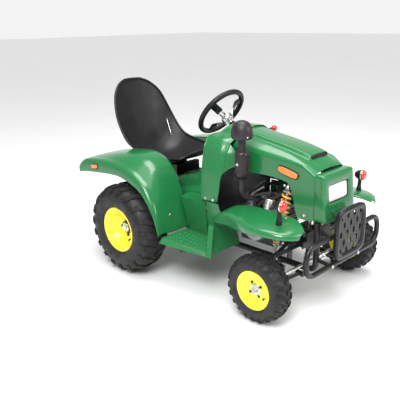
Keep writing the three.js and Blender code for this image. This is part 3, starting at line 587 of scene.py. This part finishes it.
nose = piece("nose_shell", nose_shell(), "green", "chassis", "green_body", ("nose",), smooth=50)
thickness = nose.modifiers.new("sheet", "SOLIDIFY")
thickness.thickness, thickness.offset = 0.003, 1.0


def lamp():
    shape = Shape()
    shape.rings([ring_at(954, 79, 483.5, 563.5, 10, 0.1), ring_at(960, 78.6, 484, 563, 10, 0.1),
                 ring_at(960, 76, 487, 560, 9, 0.1), ring_at(955, 75, 488, 559, 9, 0.1)], paint=1,
                 lids=False)
    shape.rings([ring_at(948, 77, 486, 561, 9, 0.1), ring_at(955, 76, 487, 560, 9, 0.1),
                 ring_at(959, 71, 491, 556, 8, 0.1), ring_at(959, 55, 502, 545, 5, 0.1),
                 ring_at(960, 30, 514, 532, 3, 0.1), ring_at(960.3, 2, 522, 524, 2, 0.1)])
    return shape


piece("headlight_glass", lamp(), "lens plastic", "chassis", "lamp_clear", ("headlight",), smooth=50)


def nose_trim():
    """The seam strip between hood and nose, a dark plate across the mouth of the bulge that is painted shade
    for its air inlet, and a low round head on each side.
    """
    shape = Shape()
    for side in (1, -1):
        shape.tube(smooth_line([(925, side * 114.5, z) for z in (408, 450, 520, 590)]), 1.6, 8,
                   squash=0.8)
        shape.dome((943, side * 113, 519), (0, side, 0), 4.2, 0.8)
    # A dark oval plate across the mouth of the bulge: painted shade standing for the opening of the air
    # inlet.
    shape.rings([[(864.5 + dx, a * s, 665.5 + b * s) for a, b in oval(57, 8.4, 6, 48)]
                 for dx, s in ((0, 1.0), (2.5, 1.0), (2.5, 0.93), (-3, 0.9))], lids=True)
    return shape


piece("nose_trim", nose_trim(), "plastic", slot="black_plastic")


def cowl_half(x):
    """The cowl's half section at x, between its shaped sections."""
    sections = [
        (405, [(250, 425), (230, 564), (203, 668), (168, 714), (111, 722), (60, 749), (0, 756)]),
        (455, [(250, 425), (236, 562), (211, 664), (180, 708), (112, 723), (66, 749), (0, 755)]),
        (490, [(235, 425), (224, 558), (200, 650), (172, 694), (110, 723), (70, 747), (0, 753)]),
        (560, [(156, 425), (156, 560), (156, 640), (153, 682), (104, 723), (70, 744), (0, 750)])]
    x = max(405, min(560, x))
    for (xa, a), (xb, b) in zip(sections, sections[1:]):
        if x <= xb:
            t = (x - xa) / (xb - xa)
            return [(p[0] + (q[0] - p[0]) * t, p[1] + (q[1] - p[1]) * t) for p, q in zip(a, b)]
    return sections[-1][1]


def cut_line(half, low, count, high=900.0):
    """The part of a section between two heights, as evenly spaced points."""
    line = []
    for (ya, za), (yb, zb) in zip(half, half[1:]):
        if zb <= low:
            continue
        if not line:
            t = max(0.0, (low - za) / (zb - za))
            line.append(Vector((ya + (yb - ya) * t, za + (zb - za) * t)))
        if zb >= high:
            t = (high - za) / (zb - za)
            line.append(Vector((ya + (yb - ya) * t, high)))
            break
        line.append(Vector((yb, zb)))
    lengths = [0.0]
    for a, b in zip(line, line[1:]):
        lengths.append(lengths[-1] + (b - a).length)
    out = []
    for i in range(count):
        s = lengths[-1] * i / (count - 1)
        k = next((j for j in range(1, len(line)) if lengths[j] >= s - 1e-9), len(line) - 1)
        t = (s - lengths[k - 1]) / (lengths[k] - lengths[k - 1])
        out.append(line[k - 1].lerp(line[k], t))
    return out


ARCH = [(400, 425), (420, 425), (440, 425), (460, 425), (474, 425), (481, 480), (485, 538), (496, 566),
        (518, 587),
        (540, 597), (562, 602)]


def cowl_rows():
    """Rows over the cowl, whose sides stand further back than its middle."""
    rows = []
    for x, low in ARCH[:8]:
        row = []
        for y, z in cut_line(cowl_half(x), low, 22):
            back = (14 + (z - 425) * 0.09) * min(abs(y) / 165, 1) ** 2 * max(0.0,
                    min(1.0, (455 - x) / 50))
            row.append((x - back, y, z))
        rows.append(row + [(a, -b, c) for a, b, c in reversed(row[:-1])])
    return rows


def wing_rows(sign):
    """The cowl's wings beside the hood, which end in a slanting front edge."""
    return [[(x, sign * y, z) for y, z in cut_line(cowl_half(x), low, 12, 690 - (x - 500) * 1.03)]
            for x, low in ARCH[7:]]


cowl = cowl_rows()
panel("cowl_skin", cowl, "green", (470, 0, 560), replaces=("cowl",), levels=2)
wings = {side: wing_rows(sign) for side, sign in SIDES}
for side, rows in wings.items():
    panel(f"cowl_wing_{side}", rows, "green", (500, 0, 600), levels=2)


def cowl_edges():
    shape = Shape()
    shape.tube([(p[0] + 1, p[1] * 0.995, p[2] - 1) for p in smooth_line(cowl[0], 2)], 4.2, 10)
    for side in (1, -1):
        edge = [(row[0][0], side * (row[0][1] - 2), row[0][2]) for row in cowl[4:] + wings["left"][1:]]
        shape.tube(smooth_line(edge, 3), 3.4, 8)
        shape.tube([(391, side * 249, 427), (474, side * 245, 427)], 3.4, 8)
    return shape


piece("cowl_edges", cowl_edges(), "green", slot="green_body")

# Rear fender: corner points of the crown, the shoulder and the hanging edge.
CROWN = [(-392, 500), (-322, 543), (-185, 575), (-80, 590), (23, 594), (134, 549), (206, 431), (240, 320),
         (259, 246)]
SHOULDER = [(-378, 500), (-330, 536), (-185, 554), (-80, 556), (40, 540), (150, 486), (222, 392),
            (250, 310), (260, 254)]
LIP = [(-366, 458), (-320, 470), (-185, 486), (-80, 494), (10, 490), (140, 440), (216, 350), (246, 290),
       (259, 244)]


def fender_rows(sign):
    """Rows across the rear fender, from its inner edge over the shoulder to the hanging edge."""
    rows = []
    for (xc, zc), (xs, zs), (xl, zl) in zip(*(smooth_line(line, 3) for line in (CROWN, SHOULDER, LIP))):
        (xa, za), (xb, zb), (xm, zm) = ((xc + (xs - xc) * t, zc + (zs - zc) * t)
                                        for t in (0.35, 0.72, 0.86))
        rows.append([(xc, sign * 206, zc), (xc, sign * 260, zc + 1), (xc, sign * 318, zc),
                     (xa, sign * 350, za),
                     (xb, sign * 376, zb), (xm, sign * 384, zm), (xs, sign * 394, zs + 1),
                     (xs, sign * 404, zs - 1),
                     (xs + (xl - xs) * 0.12, sign * 413, zs + (zl - zs) * 0.12),
                     (xs + (xl - xs) * 0.34, sign * 420, zs + (zl - zs) * 0.34),
                     (xs + (xl - xs) * 0.7, sign * 422, zs + (zl - zs) * 0.7), (xl, sign * 421, zl)])
    return rows


def front_fender_rows(sign):
    """Rows across the front fender, from stations of x, inner and outer y, inner and outer z, skirt's end."""
    stations = [
        (520, 262, 310, 388, 380, 352), (560, 240, 320, 416, 406, 361), (600, 218, 330, 442, 430, 370),
        (680, 206, 356, 447, 436, 380), (760, 205, 392, 447, 432, 392), (825, 208, 398, 447, 430, 398),
        (885, 213, 392, 447, 428, 402), (925, 226, 380, 443, 426, 401), (955, 240, 362, 436, 422, 398),
        (975, 256, 336, 426, 417, 395), (988, 270, 304, 418, 412, 391)]
    rows = []
    for x, a, b, za, zb, low in stations:
        rows.append([(x, sign * y, z) for y, z in (
            (a, za - 10), (a, za), (a + (b - a) * 0.3, za + 1), (a + (b - a) * 0.62, (za + zb) / 2 + 2),
            (b - 24, zb + 2),
            (b - 12, zb - 1), (b - 3, zb - 8), (b, zb - 16), (b, low))])
    return rows


for side, sign in SIDES:
    panel(f"rear_fender_skin_{side}", fender_rows(sign), "green", (0, sign * 300, 300), creased=(),
          replaces=(f"rear_fender_{side}",))
    panel(f"front_fender_skin_{side}", front_fender_rows(sign), "green", (800, sign * 280, 250),
          replaces=(f"front_fender_{side}",))


# ---- seat -----------------------------------------------------------------------------------------
SEAT = [  # middle x, z; edge x, z; half width
    (176, 586, 188, 578, 168), (150, 570, 166, 570, 188), (70, 532, 84, 562, 202),
    (-27, 508, -14, 562, 206),
    (-140, 496, -120, 577, 206), (-225, 518, -205, 600, 204), (-297, 602, -262, 652, 200),
    (-347, 722, -318, 736, 190), (-385, 832, -362, 834, 160), (-406, 892, -394, 890, 108),
    (-415, 914, -409, 912, 56)]


def seat_rows():
    """Rows across the shell seat, from its front edge to the top of its back."""
    rows = []
    for xc, zc, xe, ze, w in smooth_line(SEAT, 3):
        row = []
        for k in range(19):
            side = k / 9 - 1
            blend = abs(side) ** 2.6
            row.append((xc + (xe - xc) * blend, side * w, zc + (ze - zc) * blend))
        rows.append(row)
    return rows


seat = seat_rows()
panel("seat_shell", seat, "seat", (-40, 0, 800), "seat_plastic", ("seat",), thick=-6)
near_edge = [row[0] for row in reversed(seat[1:-1])]
far_edge = [row[-1] for row in seat[1:-1]]
edge_line = seat[0] + far_edge + list(reversed(seat[-1])) + near_edge
trim = Shape().tube([(-299, 154, 677), (-254, 141, 602)], 3.4, 12)
trim.dome((-250, 140, 592), (0.85, 0, 0.5), 3.5, 2.5)
piece("seat_slot_trim", trim, "steel", slot="bright_steel")
piece("seat_rim", Shape().tube(edge_line + edge_line[:2], 6.5, 12), "seat", slot="seat_plastic",
      smooth=60)


# ---- steering -------------------------------------------------------------------------------------
TILT = math.radians(35.4)
WHEEL_AXIS = Vector((-math.cos(TILT), 0, math.sin(TILT)))
WHEEL_UP = Vector((math.sin(TILT), 0, math.cos(TILT)))
WHEEL_CENTRE = Vector((286, 0, 795))
WHEEL_RADIUS, GRIP = 125, 13


def on_wheel(radius, turn, lift=0.0):
    """A point of the steering wheel, from its middle; lift counts along the column towards the rider."""
    side = Vector((0, 1, 0))
    return WHEEL_CENTRE + (side * math.cos(turn) + WHEEL_UP * math.sin(turn)) * radius + WHEEL_AXIS * lift


def wheel_ring():
    shape = Shape()
    around = [on_wheel(WHEEL_RADIUS, 2 * math.pi * i / 72) for i in range(72)]
    rings = []
    for centre in around:
        out = (centre - WHEEL_CENTRE).normalized()
        turns = [2 * math.pi * k / 16 for k in range(16)]
        rings.append([centre + out * GRIP * math.cos(a) + WHEEL_AXIS * GRIP * math.sin(a) for a in turns])
    shape.rings(rings, wrap=True)
    return shape


def dish(radius):
    """How far a spoke lies below the rim's plane."""
    share = max(0.0, min(1.0, (radius - 26) / 66))
    return -42 * (1 - share * share * (3 - 2 * share))


def bar(shape, turn, reach, offset, half_width, thick, paint):
    """A flat bar along a spoke, from one radius to another, offset sideways."""
    along = Vector((0, math.cos(turn), 0)) + WHEEL_UP * math.sin(turn)
    across = along.cross(WHEEL_AXIS).normalized()
    rings = []
    for i in range(11):
        radius = reach[0] + (reach[1] - reach[0]) * i / 10
        middle = on_wheel(radius, turn, dish(radius)) + across * offset
        rings.append([middle + across * a + WHEEL_AXIS * b for a, b in oval(half_width, thick, 5, 20)])
    shape.rings(rings, paint)


def wheel_spokes():
    shape = Shape()
    for turn in (math.radians(a) for a in (30, 150, 270)):
        for offset in (-11, 11):
            bar(shape, turn, (18, 62), offset * 0.8, 4.0, 2.2, 0)
        bar(shape, turn, (58, 117), 0, 18, 6.0, 1)
    shape.turned([(0.1, -66), (24, -66), (30, -56), (30, -42), (27, -37), (14, -34), (0.1, -33)],
                 WHEEL_CENTRE,
                 WHEEL_AXIS, 36)
    shape.tube([WHEEL_CENTRE - WHEEL_AXIS * d for d in (60, 350, 650)], 9, 20)
    return shape


piece("steering_wheel_ring", wheel_ring(), "plastic", "steering_wheel", "black_plastic",
      ("steering_wheel",), smooth=60)
piece("steering_wheel_spokes", wheel_spokes(), "steel plastic", "steering_wheel", "bright_steel",
      ("steering_shaft",), smooth=45)


# ---- exhaust stack, lamps, reflectors --------------------------------------------------------------
def stack():
    shape = Shape()
    x, y = STACK_AT
    shape.turned([(0.1, 548), (14, 548), (22, 557), (29, 565), (31, 575), (31, 662), (29, 670), (22, 676),
                  (17, 680), (17, 730), (40, 731), (46, 734), (48.5, 742), (49, 754), (47, 772),
                  (44, 784), (38, 796),
                  (29, 805), (16, 811), (0.1, 813)], (x, y, 0), (0, 0, 1), 56)
    for z in (582, 655, 692, 714):
        r = 31 if z < 660 else 17
        shape.turned([(r - 1, z - 4), (r + 1.8, z - 3), (r + 2.4, z), (r + 1.8, z + 3), (r - 1, z + 4)],
                     (x, y, 0), (0, 0, 1), 48)
    shape.tube(rounded_path([(x, y, 556), (x, y, 470), (640, -29, 404)], 40), 13, 16, paint=2)
    shape.bolt((x, y - 31, 620), (0, -1, 0), 5, 5, paint=1)
    shape.dome((x + 46, y - 15, 744), (0.95, -0.3, 0), 4, 3, paint=1)
    return shape


piece("stack_pipe", stack(), "stack steel hose", slot="black_plastic", replaces=("stack",))


def marker_lamp():
    shape = Shape()
    x, y, z = 900, 314, 518
    shape.turned([(0.1, -30), (13, -29), (20, -17), (23.6, -4), (24.4, 4), (22, 5)], (x, y, z), (1, 0, 0),
                 40, paint=2)
    shape.turned([(22, 4), (25.4, 4), (25.6, 8), (23.6, 10), (22, 9)], (x, y, z), (1, 0, 0), 40, paint=1,
                 loop=True)
    shape.turned([(23.4, 6), (23.2, 11), (20.5, 17), (14, 21.5), (6, 23.5), (0.1, 24)], (x, y, z),
                 (1, 0, 0), 40)
    shape.tube([(x - 6, y, z - 20), (x - 8, y, 450)], 9, 16, paint=2)
    shape.turned([(13, 440), (12, 452), (10, 462), (6, 466)], (x - 8, y, 0), (0, 0, 1), 28, paint=2)
    return shape


both("marker_lamp_head", marker_lamp, "red steel plastic", "lamp_red", ("marker_lamp_{}",), bevel=0.5)


def reflectors():
    shape = Shape()
    for side in (1, -1):
        for (x, y, z, a, b, tilt, normal) in ((795, 129.5, 602, 50, 14, -0.26, 0.08),
                                              (-224, 421, 512, 26, 10, 0.14, 0.0)):
            for layer, (grow, out) in enumerate(((4, 3), (0, 6))):
                rings = []
                for scale, lift in ((1.0, -2), (1.0, out - 1.5), (0.94, out)):
                    ring = []
                    for u, v in oval(a + grow, b + grow, 3.4, 40):
                        c, s = math.cos(tilt), math.sin(tilt)
                        du, dv = (u * c - v * s) * scale, (u * s + v * c) * scale
                        ring.append((x + du, side * (y + lift - du * normal), z + dv))
                    rings.append(ring)
                shape.rings(rings, paint=1 - layer)
    return shape


piece("side_reflectors", reflectors(), "amber plastic", slot="lamp_red", smooth=30)


def lever():
    shape = Shape()
    shape.tube(smooth_line([(424, 262, 452), (400, 264, 560), (372, 268, 650), (372, 270, 676),
                            (392, 272, 687), (406, 272, 688)], 5),
               5, 12, paint=1)
    shape.turned([(12, -12), (12, 5), (9, 7)], (424, 262, 452), (0, 1, 0), 24, paint=1)
    arc = [(16 * math.sin(math.pi * i / 12) + 0.02, -16 * math.cos(math.pi * i / 12)) for i in range(13)]
    shape.turned(arc, (406, 272, 688), (0, 0, 1), 28)
    return shape


piece("gear_lever_hand", lever(), "knob plastic", slot="lamp_red", replaces=("gear_lever",), smooth=50)


# ---- frame, bumper --------------------------------------------------------------------------------
def rail():
    shape = Shape()
    y = RAIL_HALF
    corners = [(-200, y, 412), (160, y, 412), (192, y, 178), (940, y, 178), (940, y, 400)]
    shape.tube(rounded_path(corners, 40, 8), 14, 18)
    for end in (-1, 1):
        x = WHEELBASE + end * 71.4
        shape.block((x - 3, y, 148), (x + 3, 148, 170))
    return shape


both("frame_tube", rail, "frame", "black_frame", ("frame_rail_{}",), smooth=50)


def loop():
    shape = Shape()
    for side in (1, -1):
        corners = [(BUMPER_X, 0, BUMPER_HIGH), (BUMPER_X, side * BUMPER_HALF, BUMPER_HIGH),
                   (BUMPER_X, side * BUMPER_HALF, BUMPER_LOW), (BUMPER_X, 0, BUMPER_LOW)]
        shape.tube(rounded_path(corners, 64, 10), 12, 20)
        for z in (BUMPER_LOW, BUMPER_HIGH):
            shape.tube([(BUMPER_X, side * RAIL_HALF, z), (956, side * RAIL_HALF, z + 8)], 9, 14)
            shape.bolt((BUMPER_X + 12, side * RAIL_HALF, z), (1, 0, 0), 5.5, 4, paint=1)
    return shape


piece("bumper_tube", loop(), "frame steel", slot="black_frame", replaces=("bumper_loop",), smooth=50)


def guard():
    """Bumper plate: a raised rim round a panel with rows of upright oval slots, every other row shifted."""
    shape = Shape()
    middle, half_y, half_z = 359.5, 119, 114.5
    rim = ((1028, -2), (1041, 0), (1046, -4), (1048, -12), (1046.5, -20), (1041, -26), (1028, -28))
    shape.rings([[(x, a, middle + b) for a, b in oval(half_y + grow, half_z + grow, 5, 64)]
                 for x, grow in rim],
                wrap=True)
    rows, columns, wide, tall = 5, 4, 51, 39
    for r in range(rows):
        z0 = middle - rows * tall / 2 + r * tall
        shift = 0.5 if r % 2 else 0.0
        for c in range(columns + (1 if shift else 0)):
            y0 = -columns * wide / 2 + (c - shift) * wide
            y1 = y0 + wide
            y0, y1 = max(y0, -columns * wide / 2), min(y1, columns * wide / 2)
            cy, cz = (y0 + y1) / 2, z0 + tall / 2
            whole = y1 - y0 > wide * 0.9
            outer, inner = [], []
            for i in range(24):
                turn = 2 * math.pi * i / 24
                u, v = math.cos(turn), math.sin(turn)
                reach = min((y1 - y0) / 2 / max(abs(u), 1e-6), tall / 2 / max(abs(v), 1e-6))
                outer.append((cy + u * reach, cz + v * reach))
                inner.append((cy + u * 8, cz + v * 6.5 + math.copysign(7.5, v) * (abs(v) > 1e-6)))
            if whole:
                shape.rings([[(x, y, z) for y, z in line] for x, line in (
                    (1035, outer), (1039, outer), (1039, inner), (1035, inner))], wrap=True)
            else:
                shape.block((1035, y0, z0), (1039, y1, z0 + tall))
    return shape


piece("bumper_guard", guard(), "frame", slot="black_frame", replaces=("bumper_plate",), smooth=40)


# ---- engine and running gear ----------------------------------------------------------------------
def engine():
    shape = Shape()
    shape.block((490, -80, 210), (686, 80, 368))
    for side in (1, -1):
        shape.turned([(62, 80), (64, 84), (64, 100), (58, 110), (30, 112), (0.1, 112)], (590, 0, 286),
                     (0, side, 0), 40, paint=1)
        for k in range(6):
            turn = math.pi / 3 * k + 0.3
            shape.bolt((590 + 54 * math.cos(turn), side * 104, 286 + 54 * math.sin(turn)), (0, side, 0),
                       4, 6, paint=1)
    for k in range(9):
        z = 268 + k * 11.5
        shape.block((682, -46, z), (742, 46, z + 4), paint=1)
    shape.block((684, -36, 264), (736, 36, 372))
    shape.tube(rounded_path([(640, 0, 366), (640, 0, 428)], 10), 22, 20, paint=1)
    return shape


piece("engine_unit", engine(), "engine cast", slot="cast_metal", replaces=("engine",), bevel=2.5)


def bay():
    """Hoses, air box, tank and small parts that fill the bay under the hood."""
    shape = Shape()
    shape.turned([(30, -52), (36, -46), (36, 46), (30, 52)], (700, -40, 452), (0, 1, 0.1), 32)
    shape.tube(smooth_line([(640, 0, 420), (648, -10, 446), (672, -20, 452)], 5), 17, 16)
    shape.tube(smooth_line([(600, -100, 380), (640, -112, 430), (720, -104, 470), (760, -90, 500),
                            (800, -84, 508)], 6), 9, 12)
    shape.tube(smooth_line([(520, -86, 350), (560, -116, 420), (600, -110, 470), (640, -96, 500)], 6), 6,
               12, paint=3)
    shape.tube(smooth_line([(500, 60, 360), (520, 30, 420), (590, 10, 480), (700, 20, 520)], 6), 7, 12)
    shape.tube(smooth_line([(520, -60, 370), (530, -110, 400), (600, -126, 396), (660, -104, 372)], 6), 5,
               10, paint=3)
    shape.block((520, -66, 380), (600, -20, 440), paint=1)
    shape.block((610, -74, 400), (640, -36, 446), paint=2)
    shape.block((664, 30, 400), (760, 92, 470), paint=1)
    shape.turned([(24, 0), (28, 4), (28, 52), (24, 56)], (676, -104, 404), (0.2, 0, 1), 28, paint=3)
    shape.turned([(17, 0), (20, 3), (20, 64), (15, 70)], (560, -84, 392), (0, -0.2, 1), 24, paint=2)
    shape.turned([(26, 0), (30, 5), (30, 40), (26, 44)], (742, -96, 392), (0, -1, 0.3), 28, paint=3)
    for start, middle, end in (((540, -130, 372), (600, -142, 452), (704, -120, 492)),
                               ((520, -60, 400), (580, -120, 470), (660, -110, 540)),
                               ((620, -110, 372), (690, -134, 398), (770, -112, 452)),
                               ((600, 40, 400), (660, -30, 500), (760, -60, 530))):
        shape.tube(smooth_line([start, middle, end], 8), 6.5, 12)
    shape.tube(smooth_line([(560, -128, 366), (640, -136, 384), (720, -124, 372), (790, -112, 390)], 6),
               4, 10, paint=3)
    for x, y, z in ((560, -90, 380), (600, -70, 448), (650, -72, 430), (700, -76, 470), (740, -70, 440)):
        shape.bolt((x, y, z), (0, -1, 0.3), 5, 8, paint=2)
    return shape


piece("engine_bay_parts", bay(), "hose engine cast steel", slot="black_plastic", bevel=2.0)
fuel = Shape()
fuel.rings([[(x, 60 + a, 528 + b) for a, b in oval(w, h, 4, 36)] for x, w, h in
            ((560, 20, 12), (564, 32, 20), (600, 36, 24), (680, 36, 24), (716, 32, 20), (720, 20, 12))])
piece("fuel_tank", fuel, "white", slot="lamp_clear", smooth=60)


def shock():
    shape = Shape()
    top, bottom = Vector((780, 96, 545)), Vector((768, 184, 176))
    axis = (top - bottom).normalized()
    length = (top - bottom).length
    shape.turned([(9, -9), (13, -9), (13, 9), (9, 9)], bottom, (1, 0, 0), 24, paint=1)
    shape.turned([(6, 0), (6, length)], bottom, axis, 20, paint=1)
    shape.turned([(13, 20), (14, 24), (14, 128), (12, 132)], bottom, axis, 28, paint=1)
    shape.turned([(14, 94), (23, 96), (24, 100), (22, 104), (14, 105)], bottom, axis, 32, paint=1)
    shape.turned([(10, length - 45), (23, length - 42), (23, length - 35), (16, length - 30),
                  (16, length - 16), (12, length - 10)],
                 bottom, axis, 32, paint=1)
    across = axis.orthogonal().normalized()
    up = axis.cross(across)
    turns, start, end = 11, 106, length - 43
    coil = []
    for i in range(turns * 20 + 1):
        turn = 2 * math.pi * i / 20
        climb = axis * (start + (end - start) * i / (turns * 20))
        coil.append(bottom + climb + (across * math.cos(turn) + up * math.sin(turn)) * 19)
    shape.tube(coil, 4.4, 8)
    return shape


both("shock_coil", shock, "spring steel", "bright_steel", ("front_shock_{}",), smooth=50)


# ---- small fittings -------------------------------------------------------------------------------
def fasteners():
    shape = Shape()
    for side in (1, -1):
        for x, y, z in ((413, 250, 434), (461, 250, 434)):
            shape.bolt((x, side * y, z), (0, side, 0), 5, 4)
        shape.bolt((879, side * 118.5, 424), (0, side, 0), 6, 5)
        shape.bolt((240, side * 322, 330), (1, 0, 0), 5, 4)
    return shape


piece("fasteners", fasteners(), "steel", slot="bright_steel")


def floor_grip():
    """Rows of raised dots on the footboards."""
    shape = Shape()
    for side in (1, -1):
        for i in range(9):
            for j in range(5):
                x, y = 292 + i * 25 + (12 if j % 2 else 0), 252 + j * 30
                shape.dome((x, side * y, 240), (0, 0, 1), 5.5, 2.2, sides=12, steps=3)
    return shape


piece("floor_grip_dots", floor_grip(), "green", slot="green_body")


# ---- frame nodes that stay ------------------------------------------------------------------------
KEPT = {
    "green_floor": ("tunnel", "footboard_left", "footboard_right"),
    "steel": ("lower_steering_shaft", "tie_rod_left", "tie_rod_right"),
    "cast": ("knuckle_left", "knuckle_right"),
    # The firewall is painted black plastic; it shows where the green front wall of the footwell stands in
    # shade, so its black there is painted shade.
    "plastic": ("firewall",),
    "frame": ("lower_arm_left", "lower_arm_right", "upper_arm_left", "upper_arm_right", "steering_column",
              "front_frame",
              "footboard_tube", "swing_arm", "hitch_plate", "seat_bracket", "pedal_left", "pedal_right"),
}
EDGES = {"green_floor": 0.0, "steel": 0.8, "cast": 1.5, "plastic": 1.0, "frame": 1.5}
for finish, names in KEPT.items():
    for name in names:
        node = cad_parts[name]
        node.data.materials.clear()
        node.data.materials.append(M[finish])
        if EDGES[finish]:
            edge = node.modifiers.new("edges", "BEVEL")
            edge.width, edge.segments = EDGES[finish] / 1000, 3
            edge.limit_method, edge.angle_limit = "ANGLE", math.radians(38)
            edge.harden_normals = True


# ---- room, light and camera -----------------------------------------------------------------------
floor_mesh = bpy.data.meshes.new("floor")
floor_mesh.from_pydata([(-40, -40, 0), (40, -40, 0), (40, 40, 0), (-40, 40, 0)], [], [(0, 1, 2, 3)])
floor_mesh.materials.append(M["floor"])
floor = bpy.data.objects.new("floor", floor_mesh)
bpy.context.scene.collection.objects.link(floor)
floor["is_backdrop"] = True

world = bpy.data.worlds.new("studio")
bpy.context.scene.world = world
world.use_nodes = True
world.node_tree.nodes["Background"].inputs["Color"].default_value = (1.0, 1.0, 1.0, 1.0)
# The backdrop the camera looks at is bright; the room behind it is darker, which keeps the blacks deep.
world_nodes, world_links = world.node_tree.nodes, world.node_tree.links
direction = world_nodes.new("ShaderNodeTexCoord")
facing = world_nodes.new("ShaderNodeVectorMath")
facing.operation = "DOT_PRODUCT"
facing.inputs[1].default_value = (-0.663, 0.681, -0.310)
backdrop = world_nodes.new("ShaderNodeMapRange")
for key, number in zip(("From Min", "From Max", "To Min", "To Max"), (0.4, 0.84, 0.42, 0.9)):
    backdrop.inputs[key].default_value = number
world_links.new(direction.outputs["Generated"], facing.inputs[0])
world_links.new(facing.outputs["Value"], backdrop.inputs["Value"])
world_links.new(backdrop.outputs["Result"], world_nodes["Background"].inputs["Strength"])


def softbox(name, spot, size, power, target=(0, 0, 0.4)):
    light = bpy.data.lights.new(name, "AREA")
    light.shape, light.size, light.size_y, light.energy = "RECTANGLE", size[0], size[1], power
    lamp_object = bpy.data.objects.new(name, light)
    lamp_object.location = spot
    lamp_object.rotation_mode = "QUATERNION"
    lamp_object.rotation_quaternion = (Vector(target) - Vector(spot)).to_track_quat("-Z", "Y")
    bpy.context.scene.collection.objects.link(lamp_object)


sun = bpy.data.lights.new("skylight", "SUN")
sun.energy, sun.angle = 1.5, math.radians(60)
sun_object = bpy.data.objects.new("skylight", sun)
sun_object.rotation_euler = (math.radians(18), math.radians(14), 0)
bpy.context.scene.collection.objects.link(sun_object)
softbox("key", (1.6, -2.6, 3.2), (1.6, 1.6), 120)
softbox("fill", (3.4, 1.4, 2.0), (2.0, 1.4), 55)
softbox("top", (0.0, 0.2, 3.6), (2.4, 1.6), 80)

CAMERA_AT = (1.8495, -2.0048, 1.2285)
CAMERA_AIM = (-0.66315, 0.68115, -0.31028)
CAMERA_ROLL = -0.81  # degrees
camera_data = bpy.data.cameras.new("camera")
camera_data.lens, camera_data.sensor_width = 49.89, 36.0
camera_data.shift_x, camera_data.shift_y = -0.0278, 0.0016
camera = bpy.data.objects.new("camera", camera_data)
forward = Vector(CAMERA_AIM).normalized()
roll = math.radians(CAMERA_ROLL)
right = forward.cross(Vector((0, 0, 1))).normalized()
above = right.cross(forward)
turned_right = right * math.cos(roll) + above * math.sin(roll)
above = above * math.cos(roll) - right * math.sin(roll)
right = turned_right
basis = Matrix((right, above, -forward)).transposed().to_4x4()
basis.translation = CAMERA_AT
camera.matrix_world = basis
bpy.context.scene.collection.objects.link(camera)
bpy.context.scene.camera = camera
bpy.context.scene.view_settings.view_transform = "Standard"

shown_low, shown_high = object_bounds()
rows = [f'"{key}": [[{a.x:.5f}, {a.y:.5f}, {a.z:.5f}], [{b.x:.5f}, {b.y:.5f}, {b.z:.5f}]]'
        for key, a, b in (("cad_box", cad_low, cad_high), ("shown_box", shown_low, shown_high))]
